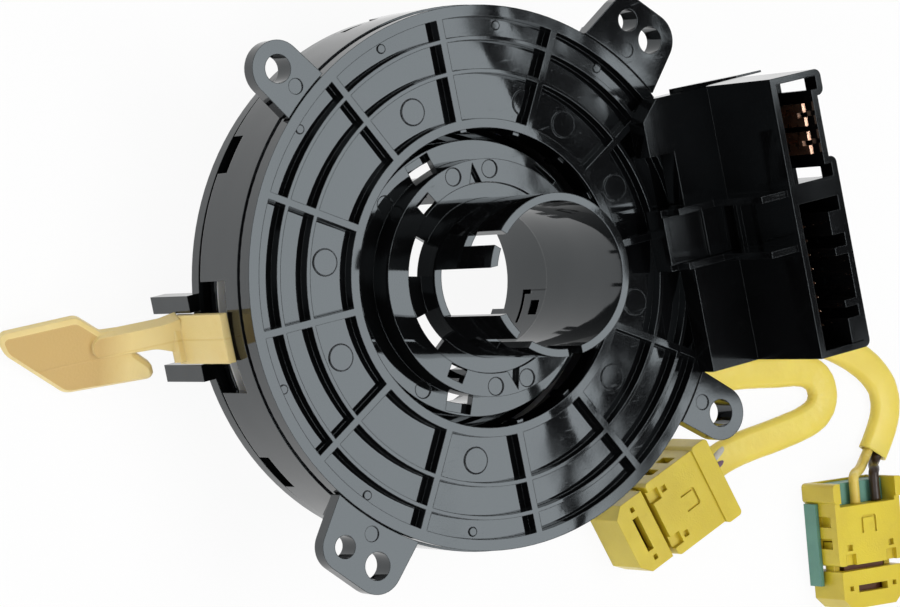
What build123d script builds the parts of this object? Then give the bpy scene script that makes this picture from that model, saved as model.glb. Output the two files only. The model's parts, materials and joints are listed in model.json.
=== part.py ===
# Steering clock spring with its lock key and two squib leads, in millimetres.
# +Z runs along the steering axis towards the column, and zero is the plane of the four ears,
# which is also the plane of the rib tops. +X points at the connector tower. The part lies on
# its wheel side, so the rotor, the leads and the squib plugs share one lowest plane.
import os
from math import cos, degrees, pi, radians, sin, tan

from build123d import *

os.makedirs("parts", exist_ok=True)

# Levels along the steering axis
EAR_TOP = 0.0
REST_Z = -36.0
RIB_HEIGHT = 2.2
COVER_PLATE = 1.8
CASE_HEIGHT = 14.7
CASE_FLOOR = 1.8
DISC_GAP = 1.7
DISC_RIM = 2.8
DISC_PLATE = 2.0

# Radii of the stator
CASE_R = 52.5
CASE_WALL = 2.2
COVER_INSET = 0.3
RIM_BAND = 2.2
RIB_THICK = 0.8
RIB_PITCH = 6.3
RING_RIBS = 2
SPOKE_RIBS = 12
SPOKE_THICK = 1.4
HUB_HOLE_R = 28.7
HUB_RING = 1.8
HUB_SKIRT = 6.0

# Radii of the rotor
RUN_GAP = 2.1
STEP_R = 22.8
BORE_R = 18.3
BORE_WALL = 1.8
DRUM_WALL = 2.4
SLEEVE_R = 13.8
SLEEVE_WALL = 1.5
SLEEVE_TOP = 25.0
SLEEVE_FOOT = -1.5
SLOT_WIDTH = 9.0
SLOT_FLOOR = 5.0

# Clearances: FIT between pieces that are seated, RUN between pieces that move
FIT = 0.05
RUN = 0.3

# Levels that follow from the ones above
plate_top = EAR_TOP - RIB_HEIGHT
cover_under = plate_top - COVER_PLATE
case_bottom = cover_under - CASE_HEIGHT
case_floor_top = case_bottom + CASE_FLOOR
disc_top = case_bottom - DISC_GAP
disc_under = disc_top - DISC_RIM
cover_r = CASE_R - COVER_INSET
hub_ring_r = HUB_HOLE_R + HUB_RING
rotor_r = HUB_HOLE_R - RUN_GAP
sleeve_outer = SLEEVE_R + SLEEVE_WALL


def polar(radius, angle):
    """Point at a radius and an angle in degrees from +X."""
    return (radius * cos(radians(angle)), radius * sin(radians(angle)))


def save(piece, name):
    """Label a finished piece and write it under its node name."""
    piece.part.label = name
    export_step(piece.part, f"parts/{name}.step")


# Ribbed rear cover: a web of ring ribs and spoke ribs over a thin plate
RIB_LAP = 0.6
spoke_in = hub_ring_r - RIB_LAP
spoke_out = cover_r - RIM_BAND + RIB_LAP
MARK_R = 2.6
MARK_HEIGHT = 0.25
MARK_INSET = 4.5
MARK_ANGLES = (104, 163, 193, 254, 46, 62, -20, 18, -46)
SMALL_MARK_R = 0.9
SMALL_MARK_INSET = 3.6
SMALL_MARK_ANGLES = (74, 105, 45, 133, 225, 254, 193)
SKIRT_RIB = 0.6
SKIRT_RIB_W = 1.4
SKIRT_RIB_TOP = -0.8
SKIRT_RIB_ANGLES = (88, 64, 41, 22, -40, -64, -88)

with BuildPart() as ribbed_cover:
    with BuildSketch(Plane.XZ) as cover_section:
        with BuildLine():
            Polyline(
                (HUB_HOLE_R, -HUB_SKIRT),
                (HUB_HOLE_R, EAR_TOP),
                (hub_ring_r, EAR_TOP),
                (hub_ring_r, plate_top),
                (cover_r - RIM_BAND, plate_top),
                (cover_r - RIM_BAND, EAR_TOP),
                (cover_r, EAR_TOP),
                (cover_r, cover_under),
                (hub_ring_r, cover_under),
                (hub_ring_r, -HUB_SKIRT),
                close=True,
            )
        make_face()
    revolve(axis=Axis.Z)
    with BuildSketch(Plane.XY.offset(plate_top)) as ring_ribs:
        for ring in range(1, RING_RIBS + 1):
            Circle(cover_r - ring * RIB_PITCH + RIB_THICK / 2)
            Circle(cover_r - ring * RIB_PITCH - RIB_THICK / 2, mode=Mode.SUBTRACT)
    extrude(amount=RIB_HEIGHT)
    with BuildSketch(Plane.XY.offset(plate_top)) as spoke_ribs:
        with PolarLocations((spoke_in + spoke_out) / 2, SPOKE_RIBS):
            Rectangle(spoke_out - spoke_in, SPOKE_THICK)
    extrude(amount=RIB_HEIGHT)
    with BuildSketch(Plane.XY.offset(plate_top)) as marks:
        with Locations(*[polar(hub_ring_r + MARK_INSET, a) for a in MARK_ANGLES]):
            Circle(MARK_R)
        with Locations(*[polar(cover_r - SMALL_MARK_INSET, a) for a in SMALL_MARK_ANGLES]):
            Circle(SMALL_MARK_R)
    extrude(amount=MARK_HEIGHT)
    with BuildSketch(Plane.XY.offset(SKIRT_RIB_TOP)) as skirt_ribs:
        for angle in SKIRT_RIB_ANGLES:
            with Locations(Location((*polar(HUB_HOLE_R, angle), 0), (0, 0, angle))):
                Rectangle(2 * SKIRT_RIB, SKIRT_RIB_W)
    extrude(amount=-HUB_SKIRT - SKIRT_RIB_TOP)
save(ribbed_cover, "ribbed_cover")

# Outer case: drum wall, floor and inner lip, with the four mounting ears
EAR_THICK = 3.2
EAR_DEPTH = 5.0
EAR_COLLAR = 1.5
EAR_ROOT = 2.6
EAR_HOLE_R = 2.7
LOCATE_HOLE_R = 2.2
EAR_LOBE_R = 5.4
LOCATE_LOBE_R = 4.8
BASE_LOBE_R = 2.5
EAR_REACH = 7.3
LEFT_EAR_ANGLE = 127.4
RIGHT_EAR_ANGLE = 38.9
LOCATE_ANGLE = 45.0
EAR_MARK_R = 1.5
EAR_MARK_INSET = 2.4
EAR_MARK_DEPTH = 0.3
LIP_TOP = -14.0
LIP_THICK = 1.5
KEY_WINDOW = 21.4
KEY_WINDOW_HEIGHT = 9.8
LATCH_WINDOW = 8.0
LATCH_WINDOW_HEIGHT = 3.6
LATCH_ANGLES = (141, 212, 99, -99)

lip_r = HUB_HOLE_R + FIT
chamber_r = CASE_R - CASE_WALL

screw_hole = (EAR_HOLE_R, EAR_LOBE_R)
locating_hole = (LOCATE_HOLE_R, LOCATE_LOBE_R)

# Each ear: the angle of each hole with its radius and lobe, then half the angle that its root takes
EARS = (
    (((LEFT_EAR_ANGLE, *screw_hole),), 3.6),
    (((-LEFT_EAR_ANGLE, *screw_hole), (LOCATE_ANGLE - 180, *locating_hole)), 8.5),
    (((RIGHT_EAR_ANGLE, *screw_hole), (LOCATE_ANGLE, *locating_hole)), 8.5),
    (((-RIGHT_EAR_ANGLE, *screw_hole),), 3.6),
)

with BuildPart() as outer_case:
    with BuildSketch(Plane.XZ) as case_section:
        with BuildLine():
            Polyline(
                (CASE_R, cover_under),
                (CASE_R, case_bottom),
                (lip_r, case_bottom),
                (lip_r, LIP_TOP),
                (lip_r + LIP_THICK, LIP_TOP),
                (lip_r + LIP_THICK, case_floor_top),
                (chamber_r, case_floor_top),
                (chamber_r, cover_under),
                close=True,
            )
        make_face()
    revolve(axis=Axis.Z)
    for holes, half_root in EARS:
        middle = sum(angle for angle, _, _ in holes) / len(holes)
        with BuildSketch(Plane.XY.offset(EAR_TOP)) as ear:
            for angle, _, lobe in holes:
                with Locations(polar(CASE_R + EAR_REACH, angle)):
                    Circle(lobe)
            for side in (-half_root, half_root):
                with Locations(polar(CASE_R - BASE_LOBE_R, middle + side)):
                    Circle(BASE_LOBE_R)
            make_hull()
            Circle(CASE_R, mode=Mode.SUBTRACT)
        extrude(amount=-EAR_THICK)
        root_place = Location((*polar(CASE_R, middle), 0), (0, 0, middle))
        root_wide = 2 * CASE_R * sin(radians(half_root))
        with BuildSketch(Plane.XY.offset(cover_under)) as root:
            with Locations(root_place):
                Rectangle(2 * EAR_ROOT, root_wide)
            Circle(chamber_r, mode=Mode.SUBTRACT)
        extrude(amount=-EAR_ROOT)
        with BuildSketch(Plane.XY.offset(cover_under)) as riser:
            with Locations(root_place):
                Rectangle(2 * EAR_ROOT, root_wide)
            Circle(CASE_R, mode=Mode.SUBTRACT)
        extrude(amount=EAR_TOP - cover_under)
        for angle, hole, _ in holes:
            with BuildSketch(Plane.XY.offset(EAR_TOP - EAR_DEPTH)) as hole_collar:
                with Locations(polar(CASE_R + EAR_REACH, angle)):
                    Circle(hole + EAR_COLLAR)
            extrude(amount=EAR_DEPTH - EAR_THICK)
            with Locations(Location((*polar(CASE_R + EAR_REACH, angle), EAR_TOP))):
                Hole(hole, depth=2 * EAR_DEPTH)
        with BuildSketch(Plane.XY.offset(EAR_TOP)) as ear_mark:
            with Locations(polar(CASE_R + EAR_MARK_INSET, middle)):
                Circle(EAR_MARK_R)
        extrude(amount=-EAR_MARK_DEPTH, mode=Mode.SUBTRACT)
    with BuildSketch(Plane.XY.offset(case_bottom)) as key_window:
        with Locations((-CASE_R, 0)):
            Rectangle(4 * CASE_WALL, KEY_WINDOW)
        Circle(chamber_r, mode=Mode.SUBTRACT)
    extrude(amount=KEY_WINDOW_HEIGHT, mode=Mode.SUBTRACT)
    with BuildSketch(Plane.XY.offset(case_bottom)) as latch_windows:
        for angle in LATCH_ANGLES:
            with Locations(Location((*polar(CASE_R, angle), 0), (0, 0, angle))):
                Rectangle(3 * CASE_WALL, LATCH_WINDOW)
        Circle(chamber_r, mode=Mode.SUBTRACT)
    extrude(amount=LATCH_WINDOW_HEIGHT, mode=Mode.SUBTRACT)
save(outer_case, "outer_case")

# Connector tower: two sockets that open towards the column, on a platform over the ribs
TOWER_GAP = 1.8
TOWER_DEPTH = 12.1
TOWER_Y0 = -28.5
TOWER_Y1 = 26.5
TOWER_TOP = 26.0
TOWER_BOTTOM = -7.5
TOWER_WALL = 1.3
TOWER_ROUND = 1.4
SOCKET_FLOOR = 4.0
FLOOR_THICK = 3.0
SEPARATOR_Y = 3.0
SEPARATOR = 2.6
STEP_DEPTH = 1.6
POCKET = 5.1
WINDOW_LOW = 12.5
WINDOW_HIGH = 22.3
WINDOW_WIDE = 2.9
WINDOW_EDGE = 0.3
PLATFORM_REACH = 16.3
PLATFORM_TOP = 5.0
PLATFORM_MIDDLE = 10.5
PLATFORM_LOWER = 11.0
BLOCK_Y = 15.5
PLATFORM_CORNER = 4.0
PLATFORM_LAP = 1.0
FIN_LENGTH = 6.3
FIN_THICK = 1.3
FIN_TOP = 25.0
FIN_Y = (4.2, -6.6)
BLOCK_DEPTH = 2.9
KEY_BLOCKS = ((-3.4, 4.6), (-9.0, 1.6), (-19.3, 1.4), (-24.6, 4.8))
FIN_STEP_REACH = 14.7
FIN_STEP_TOP = 9.0
LEDGE = 1.0
LEDGE_Z = 8.2

tower_x0 = CASE_R + TOWER_GAP
tower_x1 = tower_x0 + TOWER_DEPTH
platform_x0 = tower_x0 - PLATFORM_REACH

upper_y0 = SEPARATOR_Y + SEPARATOR / 2
lower_y1 = SEPARATOR_Y - SEPARATOR / 2
step_x = tower_x1 - STEP_DEPTH
lid_y0 = FIN_Y[1] - FIN_THICK / 2
lid_y1 = FIN_Y[0] + FIN_THICK / 2

with BuildPart() as connector_housing:
    with BuildSketch(Plane.XY.offset(TOWER_BOTTOM)) as tower_outline:
        with BuildLine():
            Polyline(
                (tower_x0, TOWER_Y0),
                (tower_x1, TOWER_Y0),
                (tower_x1, upper_y0 + POCKET),
                (step_x, upper_y0 + POCKET),
                (step_x, TOWER_Y1 - POCKET),
                (tower_x1, TOWER_Y1 - POCKET),
                (tower_x1, TOWER_Y1),
                (tower_x0, TOWER_Y1),
                close=True,
            )
        make_face()
    extrude(amount=TOWER_TOP - TOWER_BOTTOM)
    tower_corners = (
        connector_housing.part.edges()
        .filter_by(Axis.Z)
        .filter_by(lambda e: e.center().X > tower_x1 - 0.1)
    )
    fillet(tower_corners, radius=TOWER_ROUND)
    with BuildSketch(Plane.XY.offset(EAR_TOP)) as platform:
        with BuildLine():
            Polyline(
                (tower_x0 - PLATFORM_LOWER, lid_y0),
                (tower_x0 - PLATFORM_LOWER, TOWER_Y0),
                (tower_x0 + PLATFORM_LAP, TOWER_Y0),
                (tower_x0 + PLATFORM_LAP, TOWER_Y1),
                (platform_x0 + PLATFORM_CORNER, TOWER_Y1),
                (platform_x0, TOWER_Y1 - PLATFORM_CORNER),
                (platform_x0, BLOCK_Y),
                (tower_x0 - PLATFORM_MIDDLE, BLOCK_Y),
                (tower_x0 - PLATFORM_MIDDLE, lid_y1),
                (platform_x0, lid_y1),
                (platform_x0, lid_y0),
                close=True,
            )
        make_face()
    extrude(amount=PLATFORM_TOP)
    with BuildSketch(Plane.XY.offset(TOWER_TOP)) as sockets:
        with BuildLine():
            Polyline(
                (tower_x0 + TOWER_WALL, upper_y0 + TOWER_WALL),
                (tower_x1 - TOWER_WALL, upper_y0 + TOWER_WALL),
                (tower_x1 - TOWER_WALL, upper_y0 + POCKET - TOWER_WALL),
                (step_x - TOWER_WALL, upper_y0 + POCKET - TOWER_WALL),
                (step_x - TOWER_WALL, TOWER_Y1 - POCKET + TOWER_WALL),
                (tower_x1 - TOWER_WALL, TOWER_Y1 - POCKET + TOWER_WALL),
                (tower_x1 - TOWER_WALL, TOWER_Y1 - TOWER_WALL),
                (tower_x0 + TOWER_WALL, TOWER_Y1 - TOWER_WALL),
                close=True,
            )
        make_face()
        with BuildLine():
            Polyline(
                (tower_x0 + TOWER_WALL, TOWER_Y0 + TOWER_WALL),
                (tower_x1 - TOWER_WALL, TOWER_Y0 + TOWER_WALL),
                (tower_x1 - TOWER_WALL, lower_y1),
                (tower_x0 + TOWER_WALL, lower_y1),
                close=True,
            )
        make_face()
        for y, width in KEY_BLOCKS:
            with Locations((tower_x1 - TOWER_WALL - BLOCK_DEPTH / 2, y)):
                Rectangle(BLOCK_DEPTH, width, mode=Mode.SUBTRACT)
    extrude(amount=SOCKET_FLOOR - TOWER_TOP, mode=Mode.SUBTRACT)
    with BuildSketch(Plane.XY.offset(TOWER_BOTTOM)) as underside:
        for low, high in ((TOWER_Y0, lower_y1), (upper_y0, TOWER_Y1)):
            with Locations(((tower_x0 + step_x) / 2, (low + high) / 2)):
                Rectangle(
                    step_x - tower_x0 - 2 * TOWER_WALL,
                    high - low - 2 * TOWER_WALL,
                )
    extrude(amount=SOCKET_FLOOR - FLOOR_THICK - TOWER_BOTTOM, mode=Mode.SUBTRACT)
    for y in (upper_y0 + WINDOW_EDGE + WINDOW_WIDE / 2, TOWER_Y1 - POCKET / 2):
        with Locations((tower_x1, y, (WINDOW_LOW + WINDOW_HIGH) / 2)):
            Box(3 * TOWER_WALL, WINDOW_WIDE, WINDOW_HIGH - WINDOW_LOW, mode=Mode.SUBTRACT)
    with Locations((tower_x0, (lid_y0 + lid_y1) / 2, LEDGE_Z)):
        Box(2 * LEDGE, lid_y1 - lid_y0, LEDGE)
    for y in FIN_Y:
        with BuildSketch(Plane.XZ.offset(-y)) as fin:
            with BuildLine():
                Polyline(
                    (tower_x0 + TOWER_WALL, PLATFORM_TOP - PLATFORM_LAP),
                    (tower_x0 + TOWER_WALL, FIN_TOP),
                    (tower_x0 - FIN_LENGTH, FIN_TOP),
                    (tower_x0 - FIN_LENGTH, FIN_STEP_TOP),
                    (tower_x0 - FIN_STEP_REACH, FIN_STEP_TOP),
                    (tower_x0 - FIN_STEP_REACH, PLATFORM_TOP - PLATFORM_LAP),
                    close=True,
                )
            make_face()
        extrude(amount=FIN_THICK / 2, both=True)
save(connector_housing, "connector_housing")

# Terminal cover: a lid between the two fins, over the welded ends of the flat cable
LID_THICK = 1.2
LID_EDGE = 1.1
LID_EDGE_HEIGHT = 0.4
LID_LAP = 0.8
LID_BAND_AT = 9.9
LID_BAND = 3.2
LID_BAND_HEIGHT = 0.7
lid_y = (FIN_Y[0] + FIN_Y[1]) / 2
lid_width = FIN_Y[0] - FIN_Y[1] - FIN_THICK - 2 * FIT
lid_x0 = platform_x0 - LID_LAP

with BuildPart() as terminal_cover:
    with BuildSketch(Plane.XY.offset(PLATFORM_TOP)) as lid_outline:
        with Locations(((lid_x0 + tower_x0 - FIT) / 2, lid_y)):
            Rectangle(tower_x0 - FIT - lid_x0, lid_width)
    extrude(amount=LID_THICK)
    with BuildSketch(Plane.XY.offset(PLATFORM_TOP + LID_THICK)) as lid_edge:
        with Locations((lid_x0 + LID_EDGE / 2, lid_y)):
            Rectangle(LID_EDGE, lid_width)
    extrude(amount=LID_EDGE_HEIGHT)
    with BuildSketch(Plane.XY.offset(PLATFORM_TOP + LID_THICK)) as lid_band:
        with Locations((platform_x0 + LID_BAND_AT, lid_y)):
            Rectangle(LID_BAND, lid_width)
    extrude(amount=LID_BAND_HEIGHT)
save(terminal_cover, "terminal_cover")

# Side latch: a leaf that leans out from the foot of the tower's +Y side
LATCH_INSET = 5.8
LATCH_LENGTH = 6.0
LATCH_TIP_Z = 23.5
LATCH_LEAN = 2.0
LATCH_THICK = 0.8
LATCH_FOOT_TOP = 4.5
LATCH_FOOT = 0.4

with BuildPart() as side_latch:
    with BuildSketch(Plane.YZ.offset(tower_x0 - LATCH_INSET)) as leaf:
        with BuildLine():
            Polyline(
                (TOWER_Y1, EAR_TOP + LATCH_FOOT),
                (TOWER_Y1 + LATCH_THICK, EAR_TOP + LATCH_FOOT),
                (TOWER_Y1 + LATCH_LEAN, LATCH_TIP_Z),
                (TOWER_Y1 + LATCH_LEAN - LATCH_THICK / 2, LATCH_TIP_Z),
                (TOWER_Y1, LATCH_FOOT_TOP),
                close=True,
            )
        make_face()
    extrude(amount=LATCH_LENGTH)
save(side_latch, "side_latch")

# Terminal pins of both sockets, pressed through the socket floors
PIN = 0.8
PIN_TOP = 18.0
PIN_TAIL = -4.0
UPPER_PINS = 5
LOWER_PINS = 8
UPPER_PITCH = 2.6
LOWER_PITCH = 2.8
ROW_STEP = 3.2
TAB_GAP = 1.2
TAB_PITCH = 5.5
TAB_WIDE = 4.4
TAB_THICK = 0.8
TAB_TOP = 24.3
TAB_NOTCH = 1.0
TAB_NOTCH_DEPTH = 2.0


def pin_row(x, y_middle, count, pitch):
    """One straight row of square pins along Y."""
    with Locations((x, y_middle, (PIN_TOP + PIN_TAIL) / 2)):
        with GridLocations(PIN, pitch, 1, count):
            Box(PIN, PIN, PIN_TOP - PIN_TAIL)


upper_middle = (upper_y0 + TOWER_Y1) / 2
lower_middle = (TOWER_Y0 + lower_y1) / 2
pin_x = (tower_x0 + step_x) / 2
tab_x = step_x - TOWER_WALL - TAB_GAP

with BuildPart() as upper_terminals:
    pin_row(pin_x - ROW_STEP / 2, upper_middle, UPPER_PINS, UPPER_PITCH)
    for y in (upper_middle + TAB_PITCH / 2, upper_middle - TAB_PITCH / 2):
        with Locations((tab_x, y, (TAB_TOP + PIN_TAIL) / 2)):
            Box(TAB_THICK, TAB_WIDE, TAB_TOP - PIN_TAIL)
        with Locations((tab_x, y, TAB_TOP)):
            Box(2 * TAB_THICK, TAB_NOTCH, 2 * TAB_NOTCH_DEPTH, mode=Mode.SUBTRACT)
save(upper_terminals, "upper_terminals")

with BuildPart() as lower_terminals:
    for side in (-0.5, 0.5):
        pin_row(pin_x + side * ROW_STEP, lower_middle, LOWER_PINS, LOWER_PITCH)
save(lower_terminals, "lower_terminals")

# Flat cables: two tapes coiled as half circles whose radius grows by half a pitch
TAPE = 0.5
TAPE_MARGIN = 0.5
INNER_CLEAR = 1.0
OUTER_CLEAR = 0.8
HALF_TURNS = 7

# Room that the end holders of the tapes take beside the drum and the case wall
OUTER_HOLDER = 3.0
INNER_HOLDER = 3.3
tape_z = case_floor_top + TAPE_MARGIN
tape_height = cover_under - TAPE_MARGIN - tape_z
coil_in = rotor_r + INNER_HOLDER + INNER_CLEAR
coil_out = chamber_r - OUTER_HOLDER - OUTER_CLEAR


def coil_tape(angle):
    """Tape standing on edge, wound outwards as joined half circles."""
    growth = (coil_out - coil_in) / HALF_TURNS
    with BuildSketch(Plane.XY.offset(tape_z).rotated((0, 0, angle))) as tape:
        with BuildLine():
            for turn in range(HALF_TURNS):
                side = 1 if turn % 2 == 0 else -1
                radius = coil_in + growth * (turn + 0.5)
                CenterArc((-side * growth / 2, 0), radius, 90 - 90 * side, 180)
            offset(amount=TAPE / 2, side=Side.BOTH)
        make_face()
    extrude(tape.sketch, amount=tape_height)


with BuildPart() as flat_cable:
    coil_tape(0)
save(flat_cable, "flat_cable")

with BuildPart() as second_flat_cable:
    coil_tape(180)
save(second_flat_cable, "second_flat_cable")

# Low-friction sheet under the coils
SHEET_THICK = 0.3

with BuildPart() as glide_sheet:
    with BuildSketch(Plane.XY.offset(case_floor_top)) as sheet:
        Circle(chamber_r - RUN)
        Circle(lip_r + LIP_THICK + RUN, mode=Mode.SUBTRACT)
    extrude(amount=SHEET_THICK)
save(glide_sheet, "glide_sheet")

# Front rotor: face disc with its rim, the drum that the tape winds on, and the rest ring
DISC_INSET = 0.5
RIM_THICK = 2.2
DRUM_TOP = -6.8
REST_RING_R = 29.4
REST_RING = 2.2
disc_r = CASE_R - DISC_INSET
drum_in = rotor_r - DRUM_WALL
disc_plate_top = disc_under + DISC_PLATE

# Guide posts on the rim, each side of the lock key
KEY_Y0 = -4.4
KEY_Y1 = 5.0
POST = 3.3
POST_DEPTH = 3.2
POST_PROUD = 1.9
POST_TIP = REST_Z + 0.3

# Socket for the wheel's switch harness, and the peg that drives the wheel
SOCKET_INSET = 16.0
SOCKET_W = 11.0
SOCKET_L = 22.0
SOCKET_WALL = 1.3
SOCKET_SOLE = 1.6
PEG_R = 3.2
PEG_INSET = 14.0
socket_x = SOCKET_INSET - disc_r

with BuildPart() as front_rotor:
    with BuildSketch(Plane.XZ) as rotor_section:
        with BuildLine():
            Polyline(
                (drum_in, DRUM_TOP),
                (rotor_r, DRUM_TOP),
                (rotor_r, disc_plate_top),
                (disc_r - RIM_THICK, disc_plate_top),
                (disc_r - RIM_THICK, disc_top),
                (disc_r, disc_top),
                (disc_r, disc_under),
                (REST_RING_R, disc_under),
                (REST_RING_R, REST_Z),
                (REST_RING_R - REST_RING, REST_Z),
                (REST_RING_R - REST_RING, disc_under),
                (drum_in, disc_under),
                close=True,
            )
        make_face()
    revolve(axis=Axis.Z)
    with BuildSketch(Plane.XY.offset(disc_top)) as posts:
        for y in (KEY_Y1 + RUN + POST / 2, KEY_Y0 - RUN - POST / 2):
            with Locations((-disc_r - POST_PROUD + POST_DEPTH / 2, y)):
                Rectangle(POST_DEPTH, POST)
    extrude(amount=POST_TIP - disc_top)
    with BuildSketch(Plane.XY.offset(disc_under)) as switch_box:
        with Locations((socket_x, 0)):
            Rectangle(SOCKET_W, SOCKET_L)
    extrude(amount=REST_Z - disc_under)
    with BuildSketch(Plane.XY.offset(REST_Z)) as switch_mouth:
        with Locations((socket_x, 0)):
            Rectangle(SOCKET_W - 2 * SOCKET_WALL, SOCKET_L - 2 * SOCKET_WALL)
    extrude(amount=disc_under - SOCKET_SOLE - REST_Z, mode=Mode.SUBTRACT)
    with Locations(Location((0, disc_r - PEG_INSET, disc_under))):
        Cylinder(PEG_R, disc_under - REST_Z, align=(Align.CENTER, Align.CENTER, Align.MAX))
save(front_rotor, "front_rotor")

# Rear hub ring: latched on the drum, with a raised inner step and the bore tube
STEP_TOP = 0.5
SHELF_TOP = -5.0
SHELF_THICK = -DRUM_TOP + SHELF_TOP
BORE_END = -23.0
WINDOW_W = 5.6
WINDOW_D = 3.6
WINDOW_EDGE_GAP = 0.5
WINDOW_ANGLES = (108, 248, 40, -42)
NOTCH_ANGLES = (88, -87)
NOTCH_TIP = 22.2
NOTCH_FOOT = 18.0
NOTCH_WIDE = 2.9
NOTCH_DEPTH_Z = 1.2
VENT_ANGLES = (123.5, -125.5)
VENT_IN = 17.5
VENT_OUT = 21.2
VENT_WIDE = 3.6
VENT_END = -6.0
MARK_RINGS = ((20.8, (101, 78, -100, -80)), (24.4, (133, -132)))
HUB_MARK_R = 1.7
HUB_MARK_DEPTH = 0.25
SNAP_ANGLE = -20.0
SNAP_SWEEP = 20.0
SNAP_TOP = -3.0
SNAP_END = -17.0
SNAP_GAP = 0.9
SNAP_HOLE = 3.0
SNAP_HOLE_Z = -12.0
SNAP_REACH = 1.0
TOOTH_ANGLES = (-34, -46, 34, 46, 146, -146)
TOOTH_WIDE = 2.4
TOOTH_REACH = 4.5

window_r = rotor_r - WINDOW_EDGE_GAP - WINDOW_D / 2
bore_outer = BORE_R + BORE_WALL
snap_side = (*polar(BORE_R, SNAP_ANGLE), (SNAP_TOP + SNAP_END) / 2)
snap_turn = SNAP_ANGLE - SNAP_SWEEP / 2

with BuildPart() as rear_hub:
    with BuildSketch(Plane.XZ) as hub_section:
        with BuildLine():
            Polyline(
                (BORE_R, BORE_END),
                (BORE_R, STEP_TOP),
                (STEP_R, STEP_TOP),
                (STEP_R, SHELF_TOP),
                (rotor_r, SHELF_TOP),
                (rotor_r, DRUM_TOP),
                (STEP_R - BORE_WALL, DRUM_TOP),
                (STEP_R - BORE_WALL, STEP_TOP - BORE_WALL),
                (bore_outer, STEP_TOP - BORE_WALL),
                (bore_outer, BORE_END),
                close=True,
            )
        make_face()
    revolve(axis=Axis.Z)
    with BuildSketch(Plane.XY.offset(SHELF_TOP)) as hub_windows:
        for angle in WINDOW_ANGLES:
            with Locations(Location((*polar(window_r, angle), 0), (0, 0, angle))):
                Rectangle(WINDOW_D, WINDOW_W)
    extrude(amount=-2 * SHELF_THICK, mode=Mode.SUBTRACT)
    with BuildSketch(Plane.XY.offset(STEP_TOP)) as notches:
        for angle in NOTCH_ANGLES:
            half = degrees(NOTCH_WIDE / 2 / NOTCH_FOOT)
            with BuildLine():
                Polyline(
                    polar(NOTCH_TIP, angle),
                    polar(NOTCH_FOOT, angle + half),
                    polar(NOTCH_FOOT, angle - half),
                    close=True,
                )
            make_face()
    extrude(amount=-NOTCH_DEPTH_Z, mode=Mode.SUBTRACT)
    with BuildSketch(Plane.XY.offset(STEP_TOP)) as vents:
        for angle in VENT_ANGLES:
            with Locations(Location((*polar((VENT_IN + VENT_OUT) / 2, angle), 0), (0, 0, angle))):
                Rectangle(VENT_OUT - VENT_IN, VENT_WIDE)
    extrude(amount=VENT_END - STEP_TOP, mode=Mode.SUBTRACT)
    for radius, angles in MARK_RINGS:
        with BuildSketch(Plane.XY.offset(STEP_TOP if radius < STEP_R else SHELF_TOP)) as hub_marks:
            with Locations(*[polar(radius, a) for a in angles]):
                Circle(HUB_MARK_R)
        extrude(amount=-HUB_MARK_DEPTH, mode=Mode.SUBTRACT)
    with BuildSketch(Plane.XY.offset(SNAP_END)) as snap_foot:
        Circle(bore_outer + SNAP_REACH)
        Circle(BORE_R - SNAP_REACH, mode=Mode.SUBTRACT)
        with BuildLine():
            Polyline(
                (0, 0),
                polar(2 * BORE_R, SNAP_ANGLE),
                polar(2 * BORE_R, SNAP_ANGLE - SNAP_SWEEP),
                close=True,
            )
        make_face(mode=Mode.INTERSECT)
    extrude(amount=SNAP_GAP, mode=Mode.SUBTRACT)
    with Locations(Location(snap_side, (0, 0, SNAP_ANGLE))):
        Box(4 * BORE_WALL, SNAP_GAP, SNAP_TOP - SNAP_END, mode=Mode.SUBTRACT)
    with Locations(Location((*polar(BORE_R, snap_turn), SNAP_HOLE_Z), (0, 0, snap_turn))):
        Box(4 * BORE_WALL, SNAP_HOLE, SNAP_HOLE, mode=Mode.SUBTRACT)
    with BuildSketch(Plane.XY.offset(BORE_END)) as teeth:
        for angle in TOOTH_ANGLES:
            with Locations(Location((*polar(BORE_R + BORE_WALL / 2, angle), 0), (0, 0, angle))):
                Rectangle(BORE_WALL - 2 * FIT, TOOTH_WIDE)
    extrude(amount=-TOOTH_REACH)
save(rear_hub, "rear_hub")

# Cancel sleeve: a slotted tube on thin spokes that drives the turn signal cancel cam
WEB_WINDOWS = ((142, 167), (193, 217), (-38, -13), (13, 38))
WEB_INSET = 0.2
SIDE_SLOT = 3.0
SIDE_SLOT_FLOOR = 14.0
SIDE_SLOT_ANGLES = (141, 224, 270)

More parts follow.
